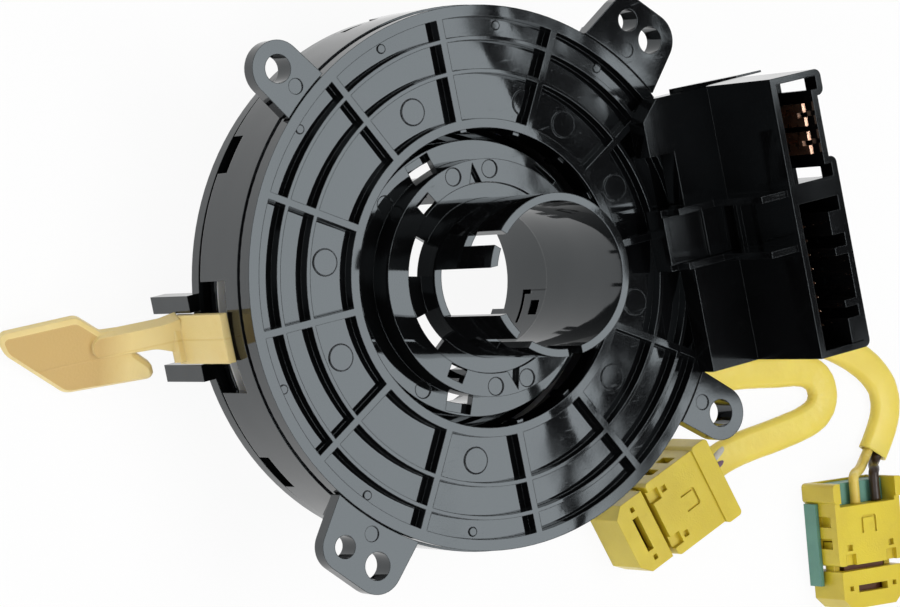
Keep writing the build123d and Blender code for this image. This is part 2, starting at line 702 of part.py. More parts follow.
with BuildPart() as cancel_sleeve:
    with BuildSketch(Plane.XZ) as sleeve_section:
        with BuildLine():
            Polyline(
                (SLEEVE_R, SLEEVE_FOOT),
                (SLEEVE_R, SLEEVE_TOP),
                (sleeve_outer, SLEEVE_TOP),
                (sleeve_outer, EAR_TOP),
                (BORE_R - FIT, EAR_TOP),
                (BORE_R - FIT, SLEEVE_FOOT),
                close=True,
            )
        make_face()
    revolve(axis=Axis.Z)
    for start, end in WEB_WINDOWS:
        with BuildSketch(Plane.XY.offset(SLEEVE_FOOT)) as web_window:
            with BuildLine():
                inner = CenterArc((0, 0), sleeve_outer, start, end - start)
                outer = CenterArc((0, 0), BORE_R - FIT - WEB_INSET, start, end - start)
                Line(inner @ 0, outer @ 0)
                Line(inner @ 1, outer @ 1)
            make_face()
        extrude(amount=EAR_TOP - SLEEVE_FOOT, mode=Mode.SUBTRACT)
    with Locations((-SLEEVE_R, 0, SLOT_FLOOR)):
        Box(
            4 * SLEEVE_WALL,
            SLOT_WIDTH,
            SLEEVE_TOP,
            align=(Align.CENTER, Align.CENTER, Align.MIN),
            mode=Mode.SUBTRACT,
        )
    for angle in SIDE_SLOT_ANGLES:
        with Locations(Location((*polar(SLEEVE_R, angle), SIDE_SLOT_FLOOR), (0, 0, angle))):
            Box(
                4 * SLEEVE_WALL,
                SIDE_SLOT,
                SLEEVE_TOP,
                align=(Align.CENTER, Align.CENTER, Align.MIN),
                mode=Mode.SUBTRACT,
            )
save(cancel_sleeve, "cancel_sleeve")

# Cable end holders: one clipped in the case wall, one on the drum
HOLDER_W = 12.0
HOLDER_HEIGHT = 11.0
INNER_HOLDER_TOP = -7.2
INNER_HOLDER_HEIGHT = 6.2

with BuildPart() as outer_cable_holder:
    with BuildSketch(Plane.XY.offset(tape_z)) as outer_block:
        with Locations((chamber_r, 0)):
            Rectangle(2 * OUTER_HOLDER, HOLDER_W)
        Circle(chamber_r - FIT, mode=Mode.INTERSECT)
    extrude(amount=HOLDER_HEIGHT)
save(outer_cable_holder, "outer_cable_holder")

with BuildPart() as inner_cable_holder:
    with BuildSketch(Plane.XY.offset(INNER_HOLDER_TOP)) as inner_block:
        with Locations((rotor_r, 0)):
            Rectangle(2 * INNER_HOLDER, HOLDER_W)
        Circle(rotor_r + FIT, mode=Mode.SUBTRACT)
    extrude(amount=-INNER_HOLDER_HEIGHT)
save(inner_cable_holder, "inner_cable_holder")

# Pins of the switch harness socket, in two rows
SWITCH_PINS = 6
SWITCH_PITCH = 2.8
SWITCH_ROWS = 3.4
SWITCH_ROOT = 1.0
SWITCH_SUNK = 4.0

with BuildPart() as switch_pins:
    with Locations((socket_x, 0, (disc_under - SWITCH_ROOT + REST_Z + SWITCH_SUNK) / 2)):
        with GridLocations(SWITCH_ROWS, SWITCH_PITCH, 2, SWITCH_PINS):
            Box(PIN, PIN, disc_under - SWITCH_ROOT - REST_Z - SWITCH_SUNK)
save(switch_pins, "switch_pins")

# Lock key: a block between the guide posts, with a stem and a finger paddle
KEY_TOP = -8.0
KEY_END = -27.6
KEY_THICK = 1.6
PADDLE_THICK = 2.2
PADDLE_PITCH = 12.0
PADDLE_ROLL = 25.0
PADDLE_DROP = 26.4
PADDLE_LAP = 0.4
PADDLE_Y = 0.5

# The paddle in its own plane: along the pull, then across it with the -Y side positive,
# and the radius of the corner
PADDLE_CORNERS = (
    (4.0, -3.6, 0.9),
    (15.2, -4.6, 1.4),
    (19.6, -8.9, 2.6),
    (35.3, -8.9, 1.6),
    (34.2, -4.6, 5.0),
    (23.4, 6.5, 3.6),
    (5.5, 7.6, 1.3),
    (5.9, 4.6, 1.6),
    (10.4, -0.2, 1.0),
    (4.0, -0.2, 0.9),
)
PADDLE_BEVEL = 0.8
STEM_CORNERS = (
    (0.0, -4.7, 0.2),
    (3.4, -4.1, 4.0),
    (17.4, -4.4, 1.8),
    (17.4, -0.2, 1.8),
    (5.0, 0.6, 6.0),
    (0.0, 2.8, 0.2),
)
STEM_PROUD = 0.9
SHOULDER = 1.2
SHOULDER_HEIGHT = 2.8
SHOULDER_INSET = 0.5

key_in = CASE_R + RUN
key_out = key_in + KEY_THICK
paddle_plane = Plane(
    origin=(-key_out + PADDLE_LAP, PADDLE_Y, -PADDLE_DROP),
    x_dir=(-cos(radians(PADDLE_PITCH)), 0, -sin(radians(PADDLE_PITCH))),
    z_dir=(
        -sin(radians(PADDLE_PITCH)) * cos(radians(PADDLE_ROLL)),
        -sin(radians(PADDLE_ROLL)),
        cos(radians(PADDLE_PITCH)) * cos(radians(PADDLE_ROLL)),
    ),
)


def rounded_outline(corners):
    """Closed outline through corners that each carry their own radius."""
    with BuildLine() as outline:
        FilletPolyline(*[(x, y) for x, y, _ in corners], radius=[r for _, _, r in corners], close=True)
    make_face(outline.edges())


with BuildPart() as lock_key:
    with BuildSketch(Plane.XY.offset(KEY_TOP)) as key_block:
        with Locations((-(key_in + key_out) / 2, (KEY_Y0 + KEY_Y1) / 2)):
            Rectangle(KEY_THICK, KEY_Y1 - KEY_Y0)
    extrude(amount=KEY_END - KEY_TOP)
    with BuildSketch(Plane.XY.offset(KEY_END)) as shoulders:
        with Locations((-key_out, (KEY_Y0 + KEY_Y1) / 2)):
            Rectangle(2 * SHOULDER, KEY_Y1 - KEY_Y0 - 2 * SHOULDER_INSET)
        with Locations((-key_in + SHOULDER, (KEY_Y0 + KEY_Y1) / 2)):
            Rectangle(2 * SHOULDER, KEY_Y1 - KEY_Y0, mode=Mode.SUBTRACT)
    extrude(amount=SHOULDER_HEIGHT)
    with BuildSketch(paddle_plane) as paddle:
        rounded_outline(PADDLE_CORNERS)
    extrude(amount=-PADDLE_THICK)
    paddle_axis = Axis(paddle_plane.origin, paddle_plane.z_dir)
    paddle_face = lock_key.faces().filter_by(paddle_axis).sort_by(paddle_axis)[-1]
    chamfer(paddle_face.edges(), length=PADDLE_BEVEL)
    with BuildSketch(paddle_plane.offset(STEM_PROUD)) as stem:
        rounded_outline(STEM_CORNERS)
    extrude(amount=-STEM_PROUD - PADDLE_THICK)
save(lock_key, "lock_key")

# Squib leads: two flat yellow sleeves that leave a clamp on the rotor's face
LEAD_W = 7.0
LEAD_H = 3.4
LEAD_HEADING = -13.0
LEAD_SPACE = 7.6
LEAD_LIFT = 0.1
LEAD_STRAIGHT = 13.0
CLAMP_L = 11.0
CLAMP_W = 18.0
CLAMP_INSET = 3.7
CLAMP_ANGLE = -31.9
CLAMP_ROUND = 1.2
CLAMP_SLIT = 1.4
CLAMP_SLIT_END = 2.5
CLAMP_SLIT_DEPTH = 6.0

lead_z = REST_Z + LEAD_LIFT + LEAD_H / 2
clamp_frame = Plane(
    origin=(*polar(disc_r - CLAMP_INSET, CLAMP_ANGLE), disc_under),
    x_dir=(cos(radians(LEAD_HEADING)), sin(radians(LEAD_HEADING)), 0),
    z_dir=(0, 0, 1),
)

# Squib plugs: where the back of each lies, and the way that it points
HOUSING_L = 17.5
HOUSING_W = 17.0
HOUSING_H = 10.5
REAR_POCKET = 3.6
FIRST_HEADING = -162.0
SECOND_HEADING = -97.0
FIRST_PLUG = Plane(
    origin=(61.3, -54.5, REST_Z),
    x_dir=(cos(radians(FIRST_HEADING)), sin(radians(FIRST_HEADING)), 0),
    z_dir=(0, 0, 1),
)
SECOND_PLUG = Plane(
    origin=(96.8, -64.2, REST_Z),
    x_dir=(cos(radians(SECOND_HEADING)), sin(radians(SECOND_HEADING)), 0),
    z_dir=(0, 0, 1),
)


def in_frame(frame, x, y):
    """Point on the leads' level, given in a frame's own coordinates."""
    place = frame.from_local_coords((x, y, 0))
    return (place.X, place.Y, lead_z)


FIRST_ROUTE = [
    in_frame(clamp_frame, 0, -LEAD_SPACE / 2),
    in_frame(clamp_frame, LEAD_STRAIGHT, -LEAD_SPACE / 2),
    (66.5, -34.9, lead_z),
    (78.5, -36.6, lead_z),
    (86.0, -38.2, lead_z),
    (92.2, -39.1, lead_z),
    (96.2, -42.0, lead_z),
    (96.4, -46.8, lead_z),
    (93.0, -50.0, lead_z),
    (83.7, -51.1, lead_z),
    in_frame(FIRST_PLUG, -10.0, 0.3),
    in_frame(FIRST_PLUG, -2.0, 0),
    in_frame(FIRST_PLUG, REAR_POCKET - FIT, 0),
]
SECOND_ROUTE = [
    in_frame(clamp_frame, 0, LEAD_SPACE / 2),
    in_frame(clamp_frame, LEAD_STRAIGHT, LEAD_SPACE / 2),
    (72.5, -28.0, lead_z),
    (87.0, -29.7, lead_z),
    (98.1, -33.8, lead_z),
    (107.0, -39.9, lead_z),
    (112.0, -46.2, lead_z),
    (112.3, -51.8, lead_z),
    (109.6, -57.0, lead_z),
    (106.3, -60.8, lead_z),
]

with BuildPart() as lead_clamp:
    with BuildSketch(clamp_frame) as clamp_outline:
        with Locations((-CLAMP_L / 2, 0)):
            RectangleRounded(CLAMP_L, CLAMP_W, CLAMP_ROUND)
    extrude(amount=REST_Z + LEAD_LIFT - disc_under)
    with BuildSketch(clamp_frame.offset(REST_Z + LEAD_LIFT - disc_under)) as clamp_slit:
        with Locations((-CLAMP_L / 2, 0)):
            Rectangle(CLAMP_L - 2 * CLAMP_SLIT_END, CLAMP_SLIT)
    extrude(amount=CLAMP_SLIT_DEPTH, mode=Mode.SUBTRACT)
save(lead_clamp, "lead_clamp")


def corner_radii(points):
    """Largest arcs that the runs beside each corner leave room for."""
    radii = []
    for before, corner, after in zip(points, points[1:], points[2:]):
        arriving = Vector(*corner) - Vector(*before)
        leaving = Vector(*after) - Vector(*corner)
        turn = arriving.get_angle(leaving)
        run = min(arriving.length, leaving.length)
        radii.append(0.45 * run / tan(radians(turn / 2)))
    return radii


def lead_sleeve(points):
    """Flat sleeve along its route on the resting plane."""
    radii = corner_radii(points)
    print("lead corner radii", [round(r, 1) for r in radii])
    with BuildLine():
        route = FilletPolyline(*points, radius=radii)
    heading = route % 0
    across = Vector(-heading.Y, heading.X, 0)
    with BuildSketch(Plane(origin=route @ 0, x_dir=across, z_dir=heading)) as section:
        SlotOverall(LEAD_W, LEAD_H)
    sweep(sections=section.sketch, path=route)
    return route


def compare_volume(name, piece, area, length):
    """Print a cord's length and its volume over its section times that length."""
    print(name, "length", round(length, 1), "volume ratio", round(piece.part.volume / (area * length), 4))


sleeve_area = (LEAD_W - LEAD_H) * LEAD_H + pi * (LEAD_H / 2) ** 2

with BuildPart() as squib_lead:
    first_line = lead_sleeve(FIRST_ROUTE)
save(squib_lead, "squib_lead")
compare_volume("squib lead", squib_lead, sleeve_area, first_line.length)

with BuildPart() as second_squib_lead:
    second_line = lead_sleeve(SECOND_ROUTE)
save(second_squib_lead, "second_squib_lead")
compare_volume("second squib lead", second_squib_lead, sleeve_area, second_line.length)

# Each plug: a housing, the contact block in its nose, and a lock sleeve that slides on it
COLLAR_L = 4.2
COLLAR_PROUD = 0.6
LOCK_GAP = 1.2
LOCK_L = 8.0
LOCK_INSET = 0.7
NOSE_DEPTH = 7.0
CONTACT_W = 10.4
CONTACT_H = 4.4
CONTACT_OUT = 6.0
NOSE_CLEAR = 0.6
TONGUE_Y = 6.6
TONGUE_W = 1.4
TONGUE_H = 3.0
TONGUE_L = 5.0
PLUG_ROUND = 0.9
NOTCH_Y = 5.3
NOTCH_W = 2.6
NOTCH_L = 2.4
NOTCH_DEPTH = 1.2
GROOVE_X = 7.6
GROOVE_Y = 1.7
GROOVE_L = 3.4
GROOVE_W = 0.5
GROOVE_DEPTH = 0.5
LOCK_CHAMFER = 2.2
LOCK_LOWER = 0.3
LOCK_SLOT_X = 3.2
LOCK_SLOT_L = 1.5
LOCK_SLOT_W = 7.6
LOCK_HOLE_Y = 5.6
LOCK_HOLE = 1.0
LOCK_HOLE_DEPTH = 1.4
PEEP = 1.3
PEEP_X = 2.6
PEEP_Y = 5.4
PEEP_DEPTH = 1.0
SLIT_X = (7.0, 11.6)
SLIT = 2.2
SLIT_DEPTH = 1.2
SLIT_LOW = 4.0

contact_low = (HOUSING_H - CONTACT_H) / 2
tongue_low = (HOUSING_H - TONGUE_H) / 2


def block(frame, x0, x1, y0, y1, z0, z1, mode=Mode.ADD):
    """Straight-sided block between two corners given in a plug's own frame."""
    with BuildSketch(frame.offset(z0)) as face:
        with Locations(((x0 + x1) / 2, (y0 + y1) / 2)):
            Rectangle(x1 - x0, y1 - y0)
    extrude(face.sketch, amount=z1 - z0, mode=mode)


def plug_housing(frame, pocket, pocket_w, pocket_low, pocket_high):
    """Plug housing with its collar, rear pocket, nose cavity, guide grooves and latch marks."""
    nose = HOUSING_L - NOSE_DEPTH
    guide = TONGUE_W / 2 + RUN
    with BuildSketch(frame) as body:
        with Locations((HOUSING_L / 2, 0)):
            RectangleRounded(HOUSING_L, HOUSING_W, PLUG_ROUND)
    extrude(body.sketch, amount=HOUSING_H)
    with BuildSketch(frame) as collar:
        with Locations((COLLAR_L / 2, 0)):
            RectangleRounded(COLLAR_L, HOUSING_W + 2 * COLLAR_PROUD, PLUG_ROUND)
    extrude(collar.sketch, amount=HOUSING_H + COLLAR_PROUD)
    block(frame, -1, pocket, -pocket_w / 2, pocket_w / 2, pocket_low, pocket_high, Mode.SUBTRACT)
    block(
        frame, nose, HOUSING_L + 1,
        -CONTACT_W / 2, CONTACT_W / 2,
        contact_low, contact_low + CONTACT_H, Mode.SUBTRACT,
    )
    for side in (-1, 1):
        block(
            frame, HOUSING_L - TONGUE_L - RUN, HOUSING_L + 1,
            side * TONGUE_Y - guide, side * TONGUE_Y + guide,
            tongue_low - RUN, tongue_low + TONGUE_H + RUN, Mode.SUBTRACT,
        )
        block(
            frame, HOUSING_L - NOTCH_L, HOUSING_L + 1,
            side * NOTCH_Y - NOTCH_W / 2, side * NOTCH_Y + NOTCH_W / 2,
            HOUSING_H - NOTCH_DEPTH, HOUSING_H + 1, Mode.SUBTRACT,
        )
        block(
            frame, GROOVE_X, GROOVE_X + GROOVE_L,
            side * GROOVE_Y - GROOVE_W / 2, side * GROOVE_Y + GROOVE_W / 2,
            HOUSING_H - GROOVE_DEPTH, HOUSING_H + 1, Mode.SUBTRACT,
        )
        block(
            frame, nose + PEEP_X, nose + PEEP_X + PEEP,
            side * PEEP_Y - PEEP / 2, side * PEEP_Y + PEEP / 2,
            HOUSING_H - PEEP_DEPTH, HOUSING_H + 1, Mode.SUBTRACT,
        )
    block(
        frame, GROOVE_X - GROOVE_W / 2, GROOVE_X + GROOVE_W / 2,
        -GROOVE_Y, GROOVE_Y,
        HOUSING_H - GROOVE_DEPTH, HOUSING_H + 1, Mode.SUBTRACT,
    )
    for x in SLIT_X:
        block(
            frame, x, x + SLIT,
            -HOUSING_W / 2 - 1, SLIT_DEPTH - HOUSING_W / 2,
            SLIT_LOW, HOUSING_H - SLIT_LOW / 2, Mode.SUBTRACT,
        )


def plug_lock(frame):
    """Lock sleeve: a rounded frame round the contact block, with two guide tongues."""
    low = HOUSING_L + LOCK_GAP
    high = low + LOCK_L
    wide = HOUSING_W - 2 * LOCK_INSET
    with BuildSketch(frame) as body:
        with Locations(((low + high) / 2, 0)):
            Rectangle(LOCK_L, wide)
        chamfer(body.vertices().filter_by(lambda v: frame.to_local_coords(v).X > high - 1), LOCK_CHAMFER)
    extrude(body.sketch, amount=HOUSING_H - LOCK_LOWER)
    block(
        frame, low - 1, low + CONTACT_OUT + NOSE_CLEAR,
        -CONTACT_W / 2 - NOSE_CLEAR, CONTACT_W / 2 + NOSE_CLEAR,
        contact_low - NOSE_CLEAR, contact_low + CONTACT_H + NOSE_CLEAR, Mode.SUBTRACT,
    )
    block(
        frame, low + LOCK_SLOT_X, low + LOCK_SLOT_X + LOCK_SLOT_L,
        -LOCK_SLOT_W / 2, LOCK_SLOT_W / 2,
        contact_low, HOUSING_H + 1, Mode.SUBTRACT,
    )
    for side in (-1, 1):
        block(
            frame, low + LOCK_SLOT_X, low + LOCK_SLOT_X + LOCK_HOLE,
            side * LOCK_HOLE_Y - LOCK_HOLE / 2, side * LOCK_HOLE_Y + LOCK_HOLE / 2,
            HOUSING_H - LOCK_HOLE_DEPTH, HOUSING_H + 1, Mode.SUBTRACT,
        )
        block(
            frame, low - LOCK_GAP - TONGUE_L, low + 1,
            side * TONGUE_Y - TONGUE_W / 2, side * TONGUE_Y + TONGUE_W / 2,
            tongue_low, tongue_low + TONGUE_H,
        )


def plug_contacts(frame):
    """Contact block that stands out of the housing's nose."""
    block(
        frame, HOUSING_L - NOSE_DEPTH, HOUSING_L + LOCK_GAP + CONTACT_OUT,
        -CONTACT_W / 2 + FIT, CONTACT_W / 2 - FIT,
        contact_low, contact_low + CONTACT_H - FIT,
    )


FIRST_POCKET_W = LEAD_W + 1.0
FIRST_POCKET_HIGH = LEAD_H + 1.2

with BuildPart() as squib_housing:
    plug_housing(FIRST_PLUG, REAR_POCKET, FIRST_POCKET_W, -1, FIRST_POCKET_HIGH)
save(squib_housing, "squib_housing")

with BuildPart() as squib_lock:
    plug_lock(FIRST_PLUG)
save(squib_lock, "squib_lock")

with BuildPart() as squib_contacts:
    plug_contacts(FIRST_PLUG)
save(squib_contacts, "squib_contacts")

SECOND_POCKET_W = 14.4
SECOND_POCKET = 5.0
SECOND_POCKET_LOW = 1.0
RETAINER_BACK = 0.4
RETAINER_HIGH = 6.4
RAIL = 0.8
RAIL_LOW = 0.6
RAIL_HIGH = 4.6
RAIL_END = 3.0

with BuildPart() as second_squib_housing:
    plug_housing(SECOND_PLUG, SECOND_POCKET, SECOND_POCKET_W, SECOND_POCKET_LOW, 2 * HOUSING_H)
save(second_squib_housing, "second_squib_housing")

with BuildPart() as second_squib_lock:
    plug_lock(SECOND_PLUG)
save(second_squib_lock, "second_squib_lock")

with BuildPart() as second_squib_contacts:
    plug_contacts(SECOND_PLUG)
save(second_squib_contacts, "second_squib_contacts")

# Retainer: the green insert that holds the second plug's wires, with a rail along its side
with BuildPart() as second_squib_retainer:
    block(
        SECOND_PLUG, RETAINER_BACK, SECOND_POCKET,
        -SECOND_POCKET_W / 2 + FIT, SECOND_POCKET_W / 2 - FIT,
        SECOND_POCKET_LOW, RETAINER_HIGH,
    )
save(second_squib_retainer, "second_squib_retainer")

rail_side = -HOUSING_W / 2 - FIT

with BuildPart() as second_squib_rail:
    block(
        SECOND_PLUG, COLLAR_L + FIT, HOUSING_L + LOCK_GAP + RAIL_END,
        rail_side - RAIL, rail_side,
        RAIL_LOW, RAIL_HIGH,
    )
save(second_squib_rail, "second_squib_rail")

# The second lead's two wires, bare of the sleeve between its end and the plug
WIRE_R = 1.1
WIRE_HEIGHT = 7.7
WIRE_PAIRS = ((-1.3, -1.0), (1.3, 4.4))
WIRE_OUT = 2.6
WIRE_IN = 6.2

sleeve_end = Plane(origin=second_line @ 1, x_dir=second_line % 1, z_dir=(0, 0, 1))

with BuildPart() as squib_wires:
    for sleeve_y, plug_y in WIRE_PAIRS:
        wire_points = [
            sleeve_end.from_local_coords((0, sleeve_y, 0)),
            sleeve_end.from_local_coords((WIRE_OUT, sleeve_y, 0)),
            SECOND_PLUG.from_local_coords((SECOND_POCKET - WIRE_IN, plug_y, WIRE_HEIGHT)),
            SECOND_PLUG.from_local_coords((SECOND_POCKET - FIT, plug_y, WIRE_HEIGHT)),
        ]
        wire_radii = corner_radii(wire_points)
        print("wire corner radii", [round(r, 1) for r in wire_radii])
        with BuildLine():
            wire_line = FilletPolyline(*wire_points, radius=wire_radii)
        with BuildSketch(Plane(origin=wire_line @ 0, z_dir=wire_line % 0)) as wire:
            Circle(WIRE_R)
        sweep(sections=wire.sketch, path=wire_line)
save(squib_wires, "squib_wires")
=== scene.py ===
# %% [markdown]
# Steering clock spring: the looks around its fixed frame.
#
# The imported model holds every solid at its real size. This lesson dresses it: soft yellow
# sleeves over the two squib leads, the bare wires at their ends, the small marks that repeat
# on the mouldings, and a finish for every surface. All sizes are in metres, in the frame of
# the solids: +Z runs along the steering axis towards the column, and +X points at the
# connector tower.

import json
from math import cos, pi, radians, sin

import bmesh
import bpy
from mathutils import Matrix, Vector, noise


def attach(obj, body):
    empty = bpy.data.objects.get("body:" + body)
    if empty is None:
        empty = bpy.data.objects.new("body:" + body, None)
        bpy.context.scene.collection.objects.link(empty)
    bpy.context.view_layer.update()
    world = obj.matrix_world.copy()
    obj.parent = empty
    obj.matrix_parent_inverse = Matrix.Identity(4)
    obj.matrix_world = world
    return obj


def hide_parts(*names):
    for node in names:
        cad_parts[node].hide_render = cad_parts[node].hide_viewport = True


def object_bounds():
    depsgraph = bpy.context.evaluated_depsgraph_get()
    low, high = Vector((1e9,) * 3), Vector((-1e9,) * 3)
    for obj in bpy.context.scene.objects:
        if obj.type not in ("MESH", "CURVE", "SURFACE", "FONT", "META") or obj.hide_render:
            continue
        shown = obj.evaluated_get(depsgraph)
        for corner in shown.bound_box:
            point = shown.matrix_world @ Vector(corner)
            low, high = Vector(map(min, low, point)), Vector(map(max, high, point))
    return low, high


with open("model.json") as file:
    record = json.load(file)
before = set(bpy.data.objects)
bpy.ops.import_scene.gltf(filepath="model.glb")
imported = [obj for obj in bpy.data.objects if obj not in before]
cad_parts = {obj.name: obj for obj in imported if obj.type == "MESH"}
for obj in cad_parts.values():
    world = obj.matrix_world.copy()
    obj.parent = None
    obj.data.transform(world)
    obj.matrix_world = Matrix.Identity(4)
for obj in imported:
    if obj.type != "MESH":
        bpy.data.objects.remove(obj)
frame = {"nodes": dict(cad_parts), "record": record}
cad_low, cad_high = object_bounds()
NODES = frame["nodes"]
MM = 0.001
REST_Z = cad_low[2]
print("nodes", len(NODES), "lowest", round(REST_Z, 4))

# %% [markdown]
# ## Camera
#
# The part lies on its wheel side and the picture was taken from above the key's side, so the
# camera looks down at about 59 degrees and is rolled until the tower stands on the right.
# A long lens at arm's length gives the mild perspective of a product picture. The camera is
# rolled, so its matrix is built from three directions.

# %% Place the camera
CAMERA_TILT = radians(31.12)
CAMERA_TURN = radians(168.96)
CAMERA_DISTANCE = 0.7404
CAMERA_TARGET = Vector((-0.0098, -0.0029, 0.0))
PICTURE_ROLL = radians(13)
PICTURE_UP = Vector((sin(PICTURE_ROLL), cos(PICTURE_ROLL), 0))
SENSOR_WIDTH = 36
FRAME_WIDTH = 900
FOCAL_PIXELS = 3900

towards_camera = Vector((
    sin(CAMERA_TILT) * cos(CAMERA_TURN),
    sin(CAMERA_TILT) * sin(CAMERA_TURN),
    cos(CAMERA_TILT),
))
camera_right = PICTURE_UP.cross(towards_camera).normalized()
camera_up = towards_camera.cross(camera_right)

camera_data = bpy.data.cameras.new("camera")
camera_data.sensor_width = SENSOR_WIDTH
camera_data.lens = FOCAL_PIXELS / FRAME_WIDTH * SENSOR_WIDTH
camera = bpy.data.objects.new("camera", camera_data)
camera_turn = Matrix((camera_right, camera_up, towards_camera)).transposed().to_4x4()
camera_spot = Matrix.Translation(CAMERA_TARGET + CAMERA_DISTANCE * towards_camera)
camera.matrix_world = camera_spot @ camera_turn
bpy.context.scene.collection.objects.link(camera)
bpy.context.scene.camera = camera
camera_place = [round(c, 3) for c in camera.matrix_world.translation]
print("lens", round(camera_data.lens, 1), "camera at", camera_place)

# %% [markdown]
# ## Shader arithmetic
#
# Patterns such as haze, scuffs and pores are sums and products of masks. Written as node
# links they are hard to read, so a small class wraps one socket and overloads the
# operators: `0.3 + 0.2 * haze` then adds its Math nodes by itself. Everything else comes
# from one method that takes a node's type, its settings and the values of its sockets.
# Noise is counted in cells to the metre: 50 gives patches of 20 mm, 2500 specks of 0.4 mm.


# %% A mask
class Mask:
    """One number that varies over a surface, as an output socket."""

    def __init__(self, tree, socket):
        self.tree = tree
        self.socket = socket

    def combine(self, operation, first, second):
        """A Math node on two values, each a mask or a plain number."""
        node = self.tree.nodes.new("ShaderNodeMath")
        node.operation = operation
        for socket, value in zip(node.inputs, (first, second)):
            if isinstance(value, Mask):
                self.tree.links.new(value.socket, socket)
            else:
                socket.default_value = value
        return Mask(self.tree, node.outputs[0])

    def __add__(self, other):
        return self.combine("ADD", self, other)

    __radd__ = __add__

    def __mul__(self, other):
        return self.combine("MULTIPLY", self, other)

    __rmul__ = __mul__

    def __sub__(self, other):
        return self.combine("SUBTRACT", self, other)

    def __rsub__(self, other):
        return self.combine("SUBTRACT", other, self)

    def at_most(self, limit):
        """The smaller of the mask and a limit."""
        return self.combine("MINIMUM", self, limit)


# %% A finish
BEVEL_SAMPLES = 6
EDGE_FROM = 0.01
EDGE_FULL = 0.2


class Finish:
    """A material in the making: its tree, its shader and the nodes that feed it."""

    def __init__(self, name, **sockets):
        self.material = bpy.data.materials.new(name)
        self.material.use_nodes = True
        self.tree = self.material.node_tree
        self.shader = self.tree.nodes["Principled BSDF"]
        for socket, value in sockets.items():
            self.shader.inputs[socket.replace("_", " ")].default_value = value
        self.place = self.node("ShaderNodeTexCoord").outputs["Object"]
        self.softened = None

    def node(self, kind, settings=None, **sockets):
        """Any node: its settings first, then the values or links of its sockets."""
        made = self.tree.nodes.new(kind)
        for key, value in (settings or {}).items():
            setattr(made, key, value)
        for key, value in sockets.items():
            socket = made.inputs[key.replace("_", " ")]
            source = value.socket if isinstance(value, Mask) else value
            if isinstance(source, bpy.types.NodeSocket):
                self.tree.links.new(source, socket)
            else:
                socket.default_value = source
        return made

    def noise(self, scale, detail=2.0, roughness=0.5, place=None):
        """Smooth noise of so many cells to the metre, as a mask about a half."""
        made = self.node(
            "ShaderNodeTexNoise",
            Vector=place or self.place, Scale=scale, Detail=detail, Roughness=roughness,
        )
        return Mask(self.tree, made.outputs["Fac"])

    def stretched(self, scale):
        """Object coordinates with each axis scaled, for streaks and grain."""
        return self.node("ShaderNodeMapping", Vector=self.place, Scale=scale).outputs["Vector"]

    def band(self, mask, low, high):
        """The mask spread from 0 at low to 1 at high, and held outside."""
        made = self.node(
            "ShaderNodeMapRange", {"clamp": True},
            Value=mask, **{"From_Min": low, "From_Max": high},
        )
        return Mask(self.tree, made.outputs["Result"])

    def mix(self, mask, first, second):
        """A colour between two, by a mask."""
        made = self.node("ShaderNodeMix", {"data_type": "RGBA"})
        self.tree.links.new(mask.socket, made.inputs["Factor"])
        for socket, value in zip([s for s in made.inputs if s.type == "RGBA"], (first, second)):
            if isinstance(value, bpy.types.NodeSocket):
                self.tree.links.new(value, socket)
            else:
                socket.default_value = (*value, 1.0)
        return [s for s in made.outputs if s.type == "RGBA"][0]

    def feed(self, socket, source):
        """Link a mask or a colour into the shader."""
        source = source.socket if isinstance(source, Mask) else source
        self.tree.links.new(source, self.shader.inputs[socket])

    def glow(self, weight, reach):
        """Let a little light in under the surface, each colour to its own reach in metres."""
        self.shader.inputs["Subsurface Weight"].default_value = weight
        self.shader.inputs["Subsurface Radius"].default_value = reach
        self.shader.inputs["Subsurface Scale"].default_value = 1.0

    def attribute(self, name):
        """A value that the mesh keeps at its points, as a mask."""
        made = self.node("ShaderNodeAttribute", {"attribute_name": name})
        return Mask(self.tree, made.outputs["Fac"])

    def along(self, axis):
        """One object coordinate, in metres, as a mask."""
        split = self.node("ShaderNodeSeparateXYZ", Vector=self.place)
        return Mask(self.tree, split.outputs[axis])

    def alignment(self, first, second):
        """The dot product of two directions, each a socket or plain numbers."""
        made = self.node("ShaderNodeVectorMath", {"operation": "DOT_PRODUCT"})
        for socket, value in zip(made.inputs, (first, second)):
            if isinstance(value, bpy.types.NodeSocket):
                self.tree.links.new(value, socket)
            else:
                socket.default_value = value
        return Mask(self.tree, made.outputs["Value"])

    def facing(self, direction):
        """1 where the surface faces a direction of the object, less beside it."""
        return self.alignment(self.place.node.outputs["Normal"], direction)

    def soften(self, radius):
        """Round the shading of every edge, and give a mask that is 1 along the edges."""
        bevel = self.node("ShaderNodeBevel", {"samples": BEVEL_SAMPLES}, Radius=radius)
        self.softened = bevel.outputs["Normal"]
        flat = self.node("ShaderNodeNewGeometry").outputs["Normal"]
        return self.band(1.0 - self.alignment(self.softened, flat), EDGE_FROM, EDGE_FULL)

    def relief(self, mask, depth):
        """Bump from a mask, over the softened edges where there are any."""
        made = self.node("ShaderNodeBump", Strength=1.0, Distance=depth, Height=mask)
        if self.softened:
            self.tree.links.new(self.softened, made.inputs["Normal"])
        self.tree.links.new(made.outputs["Normal"], self.shader.inputs["Normal"])


# %% [markdown]
# ## Black mouldings
#
# The case, the tower and the rotor are nylon with a polished tool finish: nearly black by
# themselves, so all that shows is what they reflect, in a slightly cool tint. The polish
# isn't even. It waves a little where the plastic sank over its ribs, hazes in patches, and
# carries fine dust and rub marks. A plain glossy shader would look like lacquer, so the
# roughness follows a soft haze and the relief holds a slow wave and a faint orange-peel.
# The wave is what breaks a lamp's mirror image into crisp glints of uneven outline.


# %% Black plastic
COOL_SHEEN = (0.84, 0.94, 1.0, 1.0)
MOULDING_EDGE = 0.2 * MM


